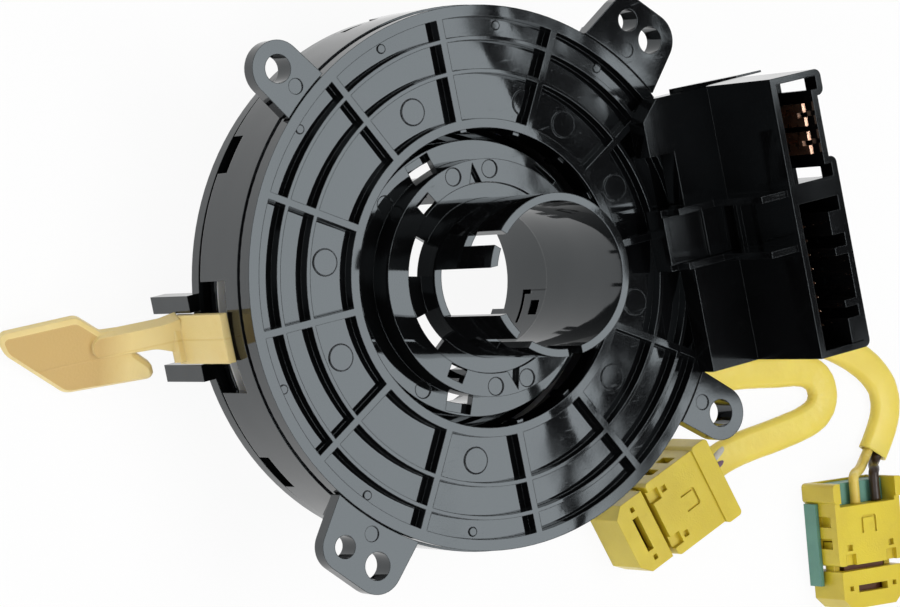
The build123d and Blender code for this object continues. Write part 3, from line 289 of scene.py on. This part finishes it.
def black_plastic(name, colour, sheen_low, sheen_high, wave):
    """Polished black moulding, hazed in patches, slightly wavy, with rubbed edges."""
    finish = Finish(name, Metallic=0.0, IOR=1.52)
    finish.shader.inputs["Specular Tint"].default_value = COOL_SHEEN
    rim = finish.soften(MOULDING_EDGE)
    haze = finish.band(finish.noise(55, detail=4.0), 0.4, 0.72)
    cloud = finish.noise(18, detail=2.0)
    dust = finish.band(finish.noise(2600, detail=1.0), 0.72, 0.8)
    streaks = finish.noise(260, detail=3.0, place=finish.stretched((1.0, 6.0, 1.0)))
    rubs = finish.band(streaks, 0.64, 0.82)
    sheen = sheen_low + (sheen_high - sheen_low) * haze
    finish.feed("Roughness", sheen + 0.1 * dust + 0.08 * rubs + 0.05 * rim)
    bright = tuple(1.6 * c + 0.002 for c in colour)
    dusty = tuple(c + 0.03 for c in colour)
    worn = (0.3 * dust + 0.1 * rubs + 0.35 * rim).at_most(1.0)
    finish.feed("Base Color", finish.mix(worn, finish.mix(cloud, colour, bright), dusty))
    slow = finish.noise(34, detail=0.0)
    quick = finish.noise(170, detail=0.0)
    peel = finish.noise(1500, detail=2.0)
    finish.relief(wave * slow + 0.04 * wave * quick + 0.0007 * peel, 1 * MM)
    return finish.material


BLACK = black_plastic("black_moulding", (0.0014, 0.0015, 0.0018), 0.03, 0.10, 0.65)
TOWER_BLACK = black_plastic("tower_moulding", (0.001, 0.001, 0.0012), 0.07, 0.15, 0.25)
ROTOR_BLACK = black_plastic("rotor_moulding", (0.0014, 0.0015, 0.0017), 0.03, 0.10, 0.8)
print("black finishes", [m.name for m in (BLACK, TOWER_BLACK, ROTOR_BLACK)])

# %% [markdown]
# ## Yellow, tan and green plastics
#
# The squib plugs are a satin nylon that lets a little light in, and the green insert is a
# duller polyester. They share one recipe: a tint that drifts slowly, grime that gathers in
# patches, a fine spark-eroded grain and a trace of light under the surface. The insulation of
# the thin wires and the parts inside the case use it as well. The key has its own.


# %% Coloured plastic
NYLON_REACH = (1.2 * MM, 0.9 * MM, 0.3 * MM)
SATIN_EDGE = 0.3 * MM
SATIN_GRAIN = 0.06 * MM


def satin_plastic(name, colour, shade, roughness, grain):
    """Satin moulding whose tint drifts between a colour and its shade, paler along its edges."""
    finish = Finish(name, Metallic=0.0, IOR=1.5)
    finish.glow(0.12, NYLON_REACH)
    rim = finish.soften(SATIN_EDGE)
    drift = finish.band(finish.noise(90, detail=3.0), 0.3, 0.75)
    grime = finish.band(finish.noise(420, detail=4.0, roughness=0.65), 0.6, 0.82)
    tint = finish.mix(0.55 * drift + 0.35 * grime, colour, shade)
    pale = tuple(min(1.0, 1.12 * c + 0.02) for c in colour)
    finish.feed("Base Color", finish.mix(0.5 * rim, tint, pale))
    finish.feed("Roughness", roughness + 0.1 * drift + 0.12 * grime)
    fine = finish.noise(grain, detail=2.0)
    slow = finish.noise(240, detail=1.0)
    finish.relief(0.7 * fine + 0.6 * slow, SATIN_GRAIN)
    return finish.material


YELLOW = satin_plastic("yellow_moulding", (0.68, 0.54, 0.03), (0.50, 0.36, 0.015), 0.3, 2600)
GREEN = satin_plastic("green_moulding", (0.12, 0.30, 0.24), (0.07, 0.20, 0.16), 0.4, 2400)
DARK_RED = satin_plastic("contact_moulding", (0.14, 0.04, 0.012), (0.07, 0.018, 0.006), 0.4, 2400)
print("satin finishes", [m.name for m in (YELLOW, GREEN, DARK_RED)])

# %% [markdown]
# The key is one acetal moulding. The face of its finger plate carries painted shade, darker
# than its rim and its stem. The shade is picked out by two masks: how far out along the pull a
# point is, and whether the surface faces the plate's own way. A fine witness line of the
# mould crosses the block where it is held on the case.


# %% Tan plastic of the key
KEY_EDGE = 0.4 * MM
KEY_GRAIN = 0.07 * MM
PADDLE_PITCH = radians(12)
PADDLE_ROLL = radians(25)
PADDLE_FROM = 64 * MM
PADDLE_FADE = 6 * MM
WITNESS_Y = 0.3 * MM
WITNESS_HALF = 0.1 * MM
WITNESS_FADE = 0.25 * MM
PADDLE_WAY = (
    -sin(PADDLE_PITCH) * cos(PADDLE_ROLL), -sin(PADDLE_ROLL), cos(PADDLE_PITCH) * cos(PADDLE_ROLL),
)


def key_plastic(name, colour, shade, plate_shade):
    """Waxy tan moulding with painted shade on its finger plate's face, and a witness line."""
    finish = Finish(name, Metallic=0.0, IOR=1.5)
    finish.glow(0.1, NYLON_REACH)
    rim = finish.soften(KEY_EDGE)
    drift = finish.band(finish.noise(80, detail=3.0), 0.3, 0.75)
    grime = finish.band(finish.noise(380, detail=4.0, roughness=0.65), 0.6, 0.84)
    # Painted shade: the finger plate's face, far out along the pull, is darkened towards the plate
    # colour.
    plate_shade_mask = finish.band(finish.facing(PADDLE_WAY), 0.93, 0.98)
    outward = finish.band(0.0 - finish.along("X"), PADDLE_FROM, PADDLE_FROM + PADDLE_FADE)
    across = finish.along("Y")
    low_side = 1.0 - finish.band(across, WITNESS_Y - WITNESS_FADE, WITNESS_Y - WITNESS_HALF)
    high_side = finish.band(across, WITNESS_Y + WITNESS_HALF, WITNESS_Y + WITNESS_FADE)
    witness = 1.0 - (low_side + high_side).at_most(1.0)
    tint = finish.mix(0.5 * drift + 0.3 * grime, colour, shade)
    # Painted shade on the finger plate's face.
    tint = finish.mix(plate_shade_mask * outward, tint, plate_shade)
    tint = finish.mix(0.5 * witness * (1.0 - outward), tint, shade)
    pale = tuple(min(1.0, 1.1 * c + 0.02) for c in colour)
    finish.feed("Base Color", finish.mix(0.45 * rim, tint, pale))
    finish.feed("Roughness", 0.36 + 0.08 * drift + 0.12 * grime)
    fine = finish.noise(2200, detail=2.0)
    slow = finish.noise(200, detail=1.0)
    finish.relief(0.6 * fine + 0.8 * slow - 0.8 * witness, KEY_GRAIN)
    return finish.material


# The third colour is the painted shade on the finger plate's face.
TAN = key_plastic("tan_moulding", (0.86, 0.69, 0.31), (0.77, 0.57, 0.20), (0.58, 0.39, 0.14))
print("key finish", TAN.name)

# %% [markdown]
# ## Sleeves, wires and metal
#
# The leads wear a soft vinyl sleeve: matt with a broad sheen, slightly cloudy, with fine
# creases and pale stress marks where it bends. The terminals are copper that has dulled to
# pink. The ribbon inside is a dark polyester tape, and the sheet under it a milky film.


# %% Soft and metal finishes
VINYL_REACH = (1.6 * MM, 1.2 * MM, 0.4 * MM)
VINYL_STRESSED = (0.86, 0.82, 0.55)
VINYL_CREASE = 0.22 * MM
DRAWN_MARKS = 0.02 * MM


def sleeve_vinyl(name, colour, shade):
    """Soft vinyl with a cloudy tint, and creases and stress marks at its bends."""
    finish = Finish(name, Metallic=0.0, IOR=1.48)
    finish.glow(0.2, VINYL_REACH)
    cloud = finish.band(finish.noise(130, detail=3.0), 0.3, 0.75)
    scuff = finish.band(finish.noise(700, detail=4.0, roughness=0.7), 0.62, 0.85)
    bend = finish.attribute("bend")
    stress = finish.band(finish.noise(620, detail=3.0), 0.48, 0.62) * bend
    tint = finish.mix(0.6 * cloud + 0.3 * scuff, colour, shade)
    finish.feed("Base Color", finish.mix(0.6 * stress, tint, VINYL_STRESSED))
    finish.feed("Roughness", 0.32 + 0.14 * cloud + 0.1 * scuff)
    creases = finish.noise(420, detail=3.0)
    folds = finish.noise(900, detail=2.0)
    finish.relief(0.5 * creases + 1.6 * bend * folds, VINYL_CREASE)
    return finish.material


def dull_metal(name, colour, stain, roughness):
    """Rolled metal with stains and fine drawing marks."""
    finish = Finish(name, Metallic=1.0)
    stains = finish.band(finish.noise(500, detail=4.0), 0.4, 0.75)
    drawn = finish.noise(1800, detail=2.0, place=finish.stretched((1.0, 1.0, 0.08)))
    finish.feed("Base Color", finish.mix(stains, colour, stain))
    finish.feed("Roughness", roughness + 0.18 * stains + 0.1 * drawn)
    finish.relief(drawn, DRAWN_MARKS)
    return finish.material


SLEEVE = sleeve_vinyl("yellow_sleeve", (0.82, 0.67, 0.12), (0.72, 0.55, 0.08))
WIRE_YELLOW = sleeve_vinyl("yellow_wire", (0.72, 0.56, 0.12), (0.58, 0.42, 0.06))
WIRE_DARK = satin_plastic("dark_wire", (0.03, 0.016, 0.01), (0.016, 0.009, 0.006), 0.34, 1800)
WIRE_PALE = satin_plastic("pale_wire", (0.56, 0.55, 0.53), (0.42, 0.41, 0.40), 0.4, 1800)
WIRE_VIOLET = satin_plastic("violet_wire", (0.20, 0.12, 0.20), (0.13, 0.08, 0.13), 0.4, 1800)
COPPER = dull_metal("terminal_copper", (0.86, 0.55, 0.40), (0.62, 0.36, 0.24), 0.2)
TAPE = satin_plastic("ribbon_tape", (0.04, 0.037, 0.04), (0.022, 0.02, 0.022), 0.3, 1600)
SHEET = satin_plastic("glide_sheet", (0.74, 0.74, 0.72), (0.64, 0.64, 0.61), 0.45, 1600)

SLOT_FINISHES = {
    "black_plastic": BLACK,
    "tower_plastic": TOWER_BLACK,
    "rotor_plastic": ROTOR_BLACK,
    "yellow_plastic": YELLOW,
    "tan_plastic": TAN,
    "green_plastic": GREEN,
    "dark_red_plastic": DARK_RED,
    "yellow_sleeve": SLEEVE,
    "copper": COPPER,
    "tape": TAPE,
    "sheet": SHEET,
}

# %% Dress the solids of the frame
NODE_SLOTS = {row["node"]: row["material_slot"] for row in frame["record"]["subparts"]}
NODE_BODIES = {
    node: body
    for body, members in frame["record"]["behaviour"]["bodies"].items()
    for node in members
}
for name, node in NODES.items():
    node.data.materials.clear()
    node.data.materials.append(SLOT_FINISHES[NODE_SLOTS[name]])
print("finishes", len(SLOT_FINISHES), "on", len(NODES), "nodes")

# %% [markdown]
# ## Leads
#
# Each squib lead is a flat vinyl sleeve over two wires, about 100 mm long, and lies in the
# curves of the picture. Its line is a smooth NURBS spline that a few listed points pull into
# shape. The sleeve is a mesh tube, because a round bevel can't be flat: a slot-shaped section
# is carried along points that are read back from the spline. Each ring of the tube measures how
# much the line bends there, which deepens the wrinkles of the mesh and is kept at its points
# for the stress marks of the vinyl.

# %% Routes of the two leads, in millimetres
LEAD_Z = REST_Z + 1.8 * MM
LEAD_W = 7.0 * MM
LEAD_H = 3.4 * MM
LEAD_CREASE = 0.14 * MM
LEAD_MOUTH = 2.5 * MM
FIRST_ROUTE = (
    (40.15, -29.23), (52.82, -32.15), (66.5, -34.9), (78.5, -36.6), (86.0, -38.2), (92.2, -39.1),
    (96.2, -42.0), (96.4, -46.8), (93.0, -50.0), (83.7, -51.1), (70.9, -51.7), (63.2, -53.88),
    (57.92, -55.6),
)
SECOND_ROUTE = (
    (41.86, -21.82), (54.53, -24.75), (72.5, -28.0), (87.0, -29.7), (98.1, -33.8), (107.0, -39.9),
    (112.0, -46.2), (112.3, -51.8), (109.6, -57.0), (106.3, -60.8),
)
print("route points", len(FIRST_ROUTE), len(SECOND_ROUTE), "at height", round(LEAD_Z, 4))


# %% Read a line back from its spline
def baked(carrier):
    """Plain mesh of what an object evaluates to. Its modifiers and the object then go."""
    depsgraph = bpy.context.evaluated_depsgraph_get()
    mesh = bpy.data.meshes.new_from_object(carrier.evaluated_get(depsgraph))
    carrier.modifiers.clear()
    bpy.data.objects.remove(carrier)
    return mesh


def smooth_line(points, steps=14):
    """Points along the NURBS spline of a route, in order."""
    data = bpy.data.curves.new("route", "CURVE")
    data.dimensions = "3D"
    spline = data.splines.new("NURBS")
    spline.points.add(len(points) - 1)
    for point, place in zip(spline.points, points):
        point.co = (*place, 1.0)
    spline.order_u = 3
    spline.use_endpoint_u = True
    spline.resolution_u = steps
    carrier = bpy.data.objects.new("route", data)
    bpy.context.scene.collection.objects.link(carrier)
    bpy.context.view_layer.update()
    return [v.co.copy() for v in baked(carrier).vertices]


def line_length(line):
    """Length along a list of points."""
    return sum((b - a).length for a, b in zip(line, line[1:]))


# %% A finished piece
def add_piece(name, mesh, material, body):
    """A finished piece at the origin, riding on its body."""
    mesh.materials.clear()
    mesh.materials.append(material)
    piece = bpy.data.objects.new(name, mesh)
    bpy.context.scene.collection.objects.link(piece)
    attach(piece, body)
    return piece


# %% A tube along a line
BEND_REACH = 3
WRINKLES = 520
WRINKLE_DRIFT = 0.35
WRINKLE_STRAIGHT = 0.25
WRINKLE_BENT = 2.2
STRESS_GAIN = 2.4
STRESS_START = 0.35
MOUTH_LIP = 0.8
MOUTH_FLOOR = 0.78


def flat_tube(name, line, width, height, around=28, crease=0.0, mouth=0.0):
    """Mesh tube with a slot-shaped section, creased where it bends, hollowed at its end by a mouth."""
    mesh = bpy.data.meshes.new(name)
    shaper = bmesh.new()
    bends = shaper.verts.layers.float.new("bend")
    rings = []
    straight = (width - height) / 2
    last = len(line) - 1
    for index, centre in enumerate(line):
        ahead = (line[min(index + 1, last)] - line[max(index - 1, 0)]).normalized()
        across = Vector((-ahead.y, ahead.x, 0)).normalized()
        over = ahead.cross(across)
        over = over if over.z > 0 else -over
        before = (centre - line[max(index - BEND_REACH, 0)]).normalized()
        after = (line[min(index + BEND_REACH, last)] - centre).normalized()
        bend = before.angle(after, 0.0)
        ring = []
        for step in range(around):
            angle = 2 * pi * step / around
            x = cos(angle) * height / 2 + (straight if cos(angle) >= 0 else -straight)
            y = sin(angle) * height / 2
            spot = centre + across * x + over * y
            wrinkle = noise.noise(spot * WRINKLES + Vector((0, 0, index * WRINKLE_DRIFT)))
            push = crease * (WRINKLE_STRAIGHT + WRINKLE_BENT * bend) * wrinkle
            outward = (across * x + over * y).normalized()
            vertex = shaper.verts.new(spot + outward * push)
            vertex[bends] = min(1.0, max(0.0, STRESS_GAIN * bend - STRESS_START))
            ring.append(vertex)
        rings.append(ring)
    if mouth:
        for back, shrink in ((0.0, MOUTH_LIP), (mouth, MOUTH_FLOOR)):
            ring = []
            for vertex in rings[last]:
                spot = line[-1] + (vertex.co - line[-1]) * shrink - ahead * back
                ring.append(shaper.verts.new(spot))
            rings.append(ring)
    for ring, follow in zip(rings, rings[1:]):
        for step in range(around):
            beside = (step + 1) % around
            shaper.faces.new((ring[step], ring[beside], follow[beside], follow[step]))
    shaper.faces.new(rings[0])
    shaper.faces.new(rings[-1][::-1])
    bmesh.ops.recalc_face_normals(shaper, faces=shaper.faces)
    shaper.to_mesh(mesh)
    shaper.free()
    for polygon in mesh.polygons:
        polygon.use_smooth = True
    return mesh


# %% A lead as a sleeve
def add_lead(name, node, route, mouth=0.0):
    """One squib lead as a vinyl sleeve on the rotor, in place of its solid."""
    line = smooth_line([(x * MM, y * MM, LEAD_Z) for x, y in route])
    sleeve = flat_tube(name, line, LEAD_W, LEAD_H, crease=LEAD_CREASE, mouth=mouth)
    piece = add_piece(name, sleeve, SLEEVE, "rotor")
    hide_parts(node)


# %% [markdown]
# Two insulated wires run in each sleeve. The second sleeve ends short of its plug, and its
# wires stand free for some 15 mm, one yellow and one dark. At the first plug a pale and a
# violet wire only show as short bits beside the collar. They are round tubes on their own
# short splines. Each sleeve takes the place of its lead's solid and rides on the rotor.

# %% Wires
WIRE_WIDE = 2.2 * MM
BIT_WIDE = 1.5 * MM
WIRE_AROUND = 16
WIRE_STEPS = 10


def add_wire(name, points, wide, material):
    """Round insulated wire on a short spline, heights counted from the resting plane."""
    line = smooth_line([(x * MM, y * MM, REST_Z + z * MM) for x, y, z in points], steps=WIRE_STEPS)
    tube = flat_tube(name, line, wide, wide, around=WIRE_AROUND)
    piece = add_piece(name, tube, material, "rotor")
    print(name, "length", round(line_length(line), 4))
    return piece


yellow_wire = add_wire("yellow_wire", (
    (107.29, -57.68, 1.8), (105.32, -59.95, 1.8), (103.2, -61.9, 2.2), (98.6, -62.6, 6.6),
    (95.95, -62.89, 7.7), (95.6, -66.0, 7.7), (95.2, -68.99, 7.7),
), WIRE_WIDE, WIRE_YELLOW)
dark_wire = add_wire("dark_wire", (
    (109.25, -59.38, 1.8), (107.28, -61.65, 1.8), (105.3, -63.2, 2.4), (102.8, -63.3, 6.4),
    (101.31, -63.55, 7.7), (100.9, -66.6, 7.7), (100.56, -69.65, 7.7),
), WIRE_WIDE, WIRE_DARK)
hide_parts("squib_wires")
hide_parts("squib_wires")
pale_bit = add_wire("pale_wire", (
    (69.3, -49.6, 2.2), (66.9, -50.9, 3.0), (63.9, -52.3, 3.8), (59.3, -53.6, 3.8),
), BIT_WIDE, WIRE_PALE)
violet_bit = add_wire("violet_wire", (
    (68.6, -52.4, 2.2), (66.2, -53.3, 3.0), (63.4, -54.3, 3.8), (58.7, -55.8, 3.8),
), BIT_WIDE, WIRE_VIOLET)

# %% The two leads
add_lead("first_sleeve", "squib_lead", FIRST_ROUTE)
add_lead("second_sleeve", "second_squib_lead", SECOND_ROUTE, mouth=LEAD_MOUTH)

# %% [markdown]
# ## Details that repeat
#
# Ejector pins leave a thin witness ring wherever they pushed a moulding out of its tool,
# and each pin of the tower's sockets ends in a small pyramid that leads it into its plug.
# Both repeat a small shape on a set of points, which is what Geometry Nodes are for: one
# tree makes the shape and instances it, and its named inputs give the sizes. The instances
# are realized and turned into plain meshes, each riding on one moving body.


# %% A tree that repeats a shape on points
def repeat_tree(name, inputs, build, material):
    """Tree that puts the shape made by build on every point of its geometry."""
    tree = bpy.data.node_groups.new(name, "GeometryNodeTree")
    tree.interface.new_socket("Geometry", in_out="INPUT", socket_type="NodeSocketGeometry")
    for label, value in inputs.items():
        made = tree.interface.new_socket(label, in_out="INPUT", socket_type="NodeSocketFloat")
        made.default_value = value
    tree.interface.new_socket("Geometry", in_out="OUTPUT", socket_type="NodeSocketGeometry")
    entry = tree.nodes.new("NodeGroupInput")
    shape = build(tree, entry)
    place = tree.nodes.new("GeometryNodeInstanceOnPoints")
    plain = tree.nodes.new("GeometryNodeRealizeInstances")
    paint = tree.nodes.new("GeometryNodeSetMaterial")
    paint.inputs["Material"].default_value = material
    leave = tree.nodes.new("NodeGroupOutput")
    tree.links.new(entry.outputs["Geometry"], place.inputs["Points"])
    tree.links.new(shape, place.inputs["Instance"])
    tree.links.new(place.outputs["Instances"], plain.inputs["Geometry"])
    tree.links.new(plain.outputs["Geometry"], paint.inputs["Geometry"])
    tree.links.new(paint.outputs["Geometry"], leave.inputs["Geometry"])
    return tree


# %% The two shapes
RING_CORNERS = 40
RIM_CORNERS = 6
TIP_SIDES = 4


def ring_shape(tree, entry):
    """Thin ring: a round profile carried round a circle."""
    circle = tree.nodes.new("GeometryNodeCurvePrimitiveCircle")
    profile = tree.nodes.new("GeometryNodeCurvePrimitiveCircle")
    carry = tree.nodes.new("GeometryNodeCurveToMesh")
    circle.inputs["Resolution"].default_value = RING_CORNERS
    profile.inputs["Resolution"].default_value = RIM_CORNERS
    tree.links.new(entry.outputs["Ring Radius"], circle.inputs["Radius"])
    tree.links.new(entry.outputs["Rim Radius"], profile.inputs["Radius"])
    tree.links.new(circle.outputs["Curve"], carry.inputs["Curve"])
    tree.links.new(profile.outputs["Curve"], carry.inputs["Profile Curve"])
    return carry.outputs["Mesh"]


def tip_shape(tree, entry):
    """Four-sided pyramid with a small flat end, square to the axes."""
    cone = tree.nodes.new("GeometryNodeMeshCone")
    turned = tree.nodes.new("GeometryNodeTransform")
    cone.inputs["Vertices"].default_value = TIP_SIDES
    tree.links.new(entry.outputs["End Radius"], cone.inputs["Radius Top"])
    tree.links.new(entry.outputs["Foot Radius"], cone.inputs["Radius Bottom"])
    tree.links.new(entry.outputs["Depth"], cone.inputs["Depth"])
    tree.links.new(cone.outputs["Mesh"], turned.inputs["Geometry"])
    turned.inputs["Rotation"].default_value = (0, 0, pi / TIP_SIDES)
    return turned.outputs["Geometry"]


# %% Run a tree on a list of points
def repeat_on(name, points, tree, values):
    """Plain mesh of a tree's shape on every point."""
    carrier_mesh = bpy.data.meshes.new(name)
    carrier_mesh.from_pydata(points, [], [])
    carrier = bpy.data.objects.new(name + "_points", carrier_mesh)
    bpy.context.scene.collection.objects.link(carrier)
    modifier = carrier.modifiers.new("repeat", "NODES")
    modifier.node_group = tree
    sockets = [item for item in tree.interface.items_tree if item.in_out == "INPUT"]
    keys = {item.name: item.identifier for item in sockets}
    for label, value in values.items():
        modifier[keys[label]] = value
    bpy.context.view_layer.update()
    mesh = baked(carrier)
    print(name, "on", len(points), "points, faces", len(mesh.polygons))
    return mesh


def around(radius, angles, z):
    """Points at a radius and a height in millimetres, at several angles in degrees from +X."""
    return [(radius * MM * cos(radians(a)), radius * MM * sin(radians(a)), z * MM) for a in angles]


# %% Witness rings, on the cover's plate and on the hub's step and shelf
RING_VALUES = {"Ring Radius": 1 * MM, "Rim Radius": 0.09 * MM}
BLACK_RINGS = repeat_tree("witness_rings", RING_VALUES, ring_shape, BLACK)
HUB_RINGS = repeat_tree("hub_witness_rings", RING_VALUES, ring_shape, ROTOR_BLACK)
PLATE_Z = -1.95
HUB_STEP_Z = 0.5
HUB_SHELF_Z = -5.0

cover_marks = around(35.0, (104, 163, 193, 254, 46, 62, -20, 18, -46), PLATE_Z)
small_marks = around(48.6, (74, 105, 45, 133, 225, 254, 193), PLATE_Z)
hub_marks = around(20.8, (101, 78, -100, -80), HUB_STEP_Z) + around(24.4, (133, -132), HUB_SHELF_Z)
# name, points, tree, radius in millimetres, finish, node that carries the rings
RING_SETS = (
    ("cover_rings", cover_marks, BLACK_RINGS, 2.45, BLACK, "ribbed_cover"),
    ("small_cover_rings", small_marks, BLACK_RINGS, 0.8, BLACK, "ribbed_cover"),
    ("hub_rings", hub_marks, HUB_RINGS, 1.75, ROTOR_BLACK, "rear_hub"),
)
for name, points, tree, radius, material, node in RING_SETS:
    mesh = repeat_on(name, points, tree, {**RING_VALUES, "Ring Radius": radius * MM})
    add_piece(name, mesh, material, NODE_BODIES[node])

# %% Pin tips, one row in the upper socket and two in the lower one
PIN = 0.8 * MM
TIP_VALUES = {"End Radius": 0.12 * MM, "Foot Radius": PIN / 2 ** 0.5, "Depth": 1.1 * MM}
TIPS = repeat_tree("pin_tips", TIP_VALUES, tip_shape, COPPER)
TIP_Z = 18 * MM
# x, middle along y, pitch, all in millimetres, and number of pins
PIN_ROWS = (
    (57.95, 15.4, 2.6, 5),
    (57.95, -13.4, 2.8, 8),
    (61.15, -13.4, 2.8, 8),
)
tower_tips = []
for x, middle, pitch, count in PIN_ROWS:
    steps = [k - (count - 1) / 2 for k in range(count)]
    tower_tips += [(x * MM, (middle + pitch * step) * MM, TIP_Z) for step in steps]
tips = repeat_on("tower_pin_tips", tower_tips, TIPS, TIP_VALUES)
add_piece("tower_pin_tips", tips, COPPER, NODE_BODIES["upper_terminals"])

# %% [markdown]
# ## Floor and light
#
# The picture has a plain white ground. A white floor that is lit like the rest would still
# shade towards its edges, so camera and mirror rays see it mostly as plain white, and it
# keeps only a trace of the shadow.

# %% Floor
FLOOR_HALF = 6.0
FLOOR_DROP = 0.05 * MM
FLOOR_GREY = (0.86, 0.86, 0.86, 1.0)
PLAIN_SHARE = 0.93
WHITE = (1.0, 1.0, 1.0, 1.0)

floor_mesh = bpy.data.meshes.new("floor")
corners = [(FLOOR_HALF * x, FLOOR_HALF * y) for x, y in ((-1, -1), (1, -1), (1, 1), (-1, 1))]
floor_mesh.from_pydata([(x, y, REST_Z - FLOOR_DROP) for x, y in corners], [], [(0, 1, 2, 3)])
floor = bpy.data.objects.new("floor", floor_mesh)
bpy.context.scene.collection.objects.link(floor)

floor_finish = Finish("floor_white", Roughness=1.0)
floor_finish.shader.inputs["Base Color"].default_value = FLOOR_GREY
floor_finish.shader.inputs["Specular IOR Level"].default_value = 0.0
rays = floor_finish.node("ShaderNodeLightPath")
camera_rays, mirror_rays = (
    Mask(floor_finish.tree, rays.outputs[kind]) for kind in ("Is Camera Ray", "Is Glossy Ray")
)
seen = (camera_rays + mirror_rays).at_most(1.0)
plain = floor_finish.node("ShaderNodeEmission", Color=WHITE, Strength=1.0)
ground = floor_finish.node("ShaderNodeMixShader", Fac=PLAIN_SHARE * seen)
surface = floor_finish.tree.nodes["Material Output"].inputs["Surface"]
floor_finish.tree.links.new(floor_finish.shader.outputs[0], ground.inputs[1])
floor_finish.tree.links.new(plain.outputs[0], ground.inputs[2])
floor_finish.tree.links.new(ground.outputs[0], surface)
floor_mesh.materials.append(floor_finish.material)
print("floor at", round(REST_Z - FLOOR_DROP, 5))

# %% [markdown]
# Black plastic shows nothing but mirror images, so the light is laid out by what each face
# mirrors. The world is pale near the horizon and dark overhead: steep faces mirror a bright
# room from any side, and level ones stay black. One large lamp stands where the left of the
# cover mirrors it, which gives the grey sheen on the key's side and ends inside the cover.
# Two small ones stand where the ears beside the tower mirror them. The wide ones light the
# coloured pieces and the walls on the other sides.

# %% World and lamps
WORLD_FADE = {"From Min": 0.25, "From Max": 0.72, "To Min": 0.5, "To Max": 0.06}
# name, place and size in metres, power in watts
LAMPS = (
    ("key_light", (0.314, -0.05, 1.0), (0.70, 0.588), 6.65),
    ("low_glint", (0.715, -0.24, 1.0), (0.10, 0.09), 0.14),
    ("high_glint", (0.745, 0.0, 1.0), (0.07, 0.07), 0.08),
    ("fill_light", (-0.9, -0.7, 0.9), (0.8, 0.8), 6.0),
    ("front_fill", (0.5, -1.3, 0.8), (0.9, 0.9), 4.0),
    ("left_panel", (-0.95, 0.35, 0.9), (0.9, 0.9), 3.0),
    ("rear_panel", (0.1, 1.05, 0.9), (0.9, 0.9), 2.5),
)

world = bpy.data.worlds.new("studio")
world.use_nodes = True
bpy.context.scene.world = world
sky = world.node_tree
background = sky.nodes["Background"]
background.inputs["Color"].default_value = WHITE
direction = sky.nodes.new("ShaderNodeTexCoord")
height = sky.nodes.new("ShaderNodeSeparateXYZ")
fade = sky.nodes.new("ShaderNodeMapRange")
fade.interpolation_type = "SMOOTHSTEP"
for label, value in WORLD_FADE.items():
    fade.inputs[label].default_value = value
sky.links.new(direction.outputs["Generated"], height.inputs[0])
sky.links.new(height.outputs["Z"], fade.inputs["Value"])
sky.links.new(fade.outputs["Result"], background.inputs["Strength"])


def soft_lamp(name, place, size, power):
    """Rectangular soft lamp that faces the origin."""
    data = bpy.data.lights.new(name, "AREA")
    data.shape = "RECTANGLE"
    data.size, data.size_y = size
    data.energy = power
    lamp = bpy.data.objects.new(name, data)
    lamp.matrix_world = Vector(place).to_track_quat("Z", "Y").to_matrix().to_4x4()
    lamp.matrix_world.translation = Vector(place)
    bpy.context.scene.collection.objects.link(lamp)


for lamp_values in LAMPS:
    soft_lamp(*lamp_values)
print("lamps", [row[0] for row in LAMPS])

# %% [markdown]
# ## Finish
#
# The view transform stays plain so that a colour renders about as it is written.

# %% Plain view transform
bpy.context.scene.view_settings.view_transform = "Standard"
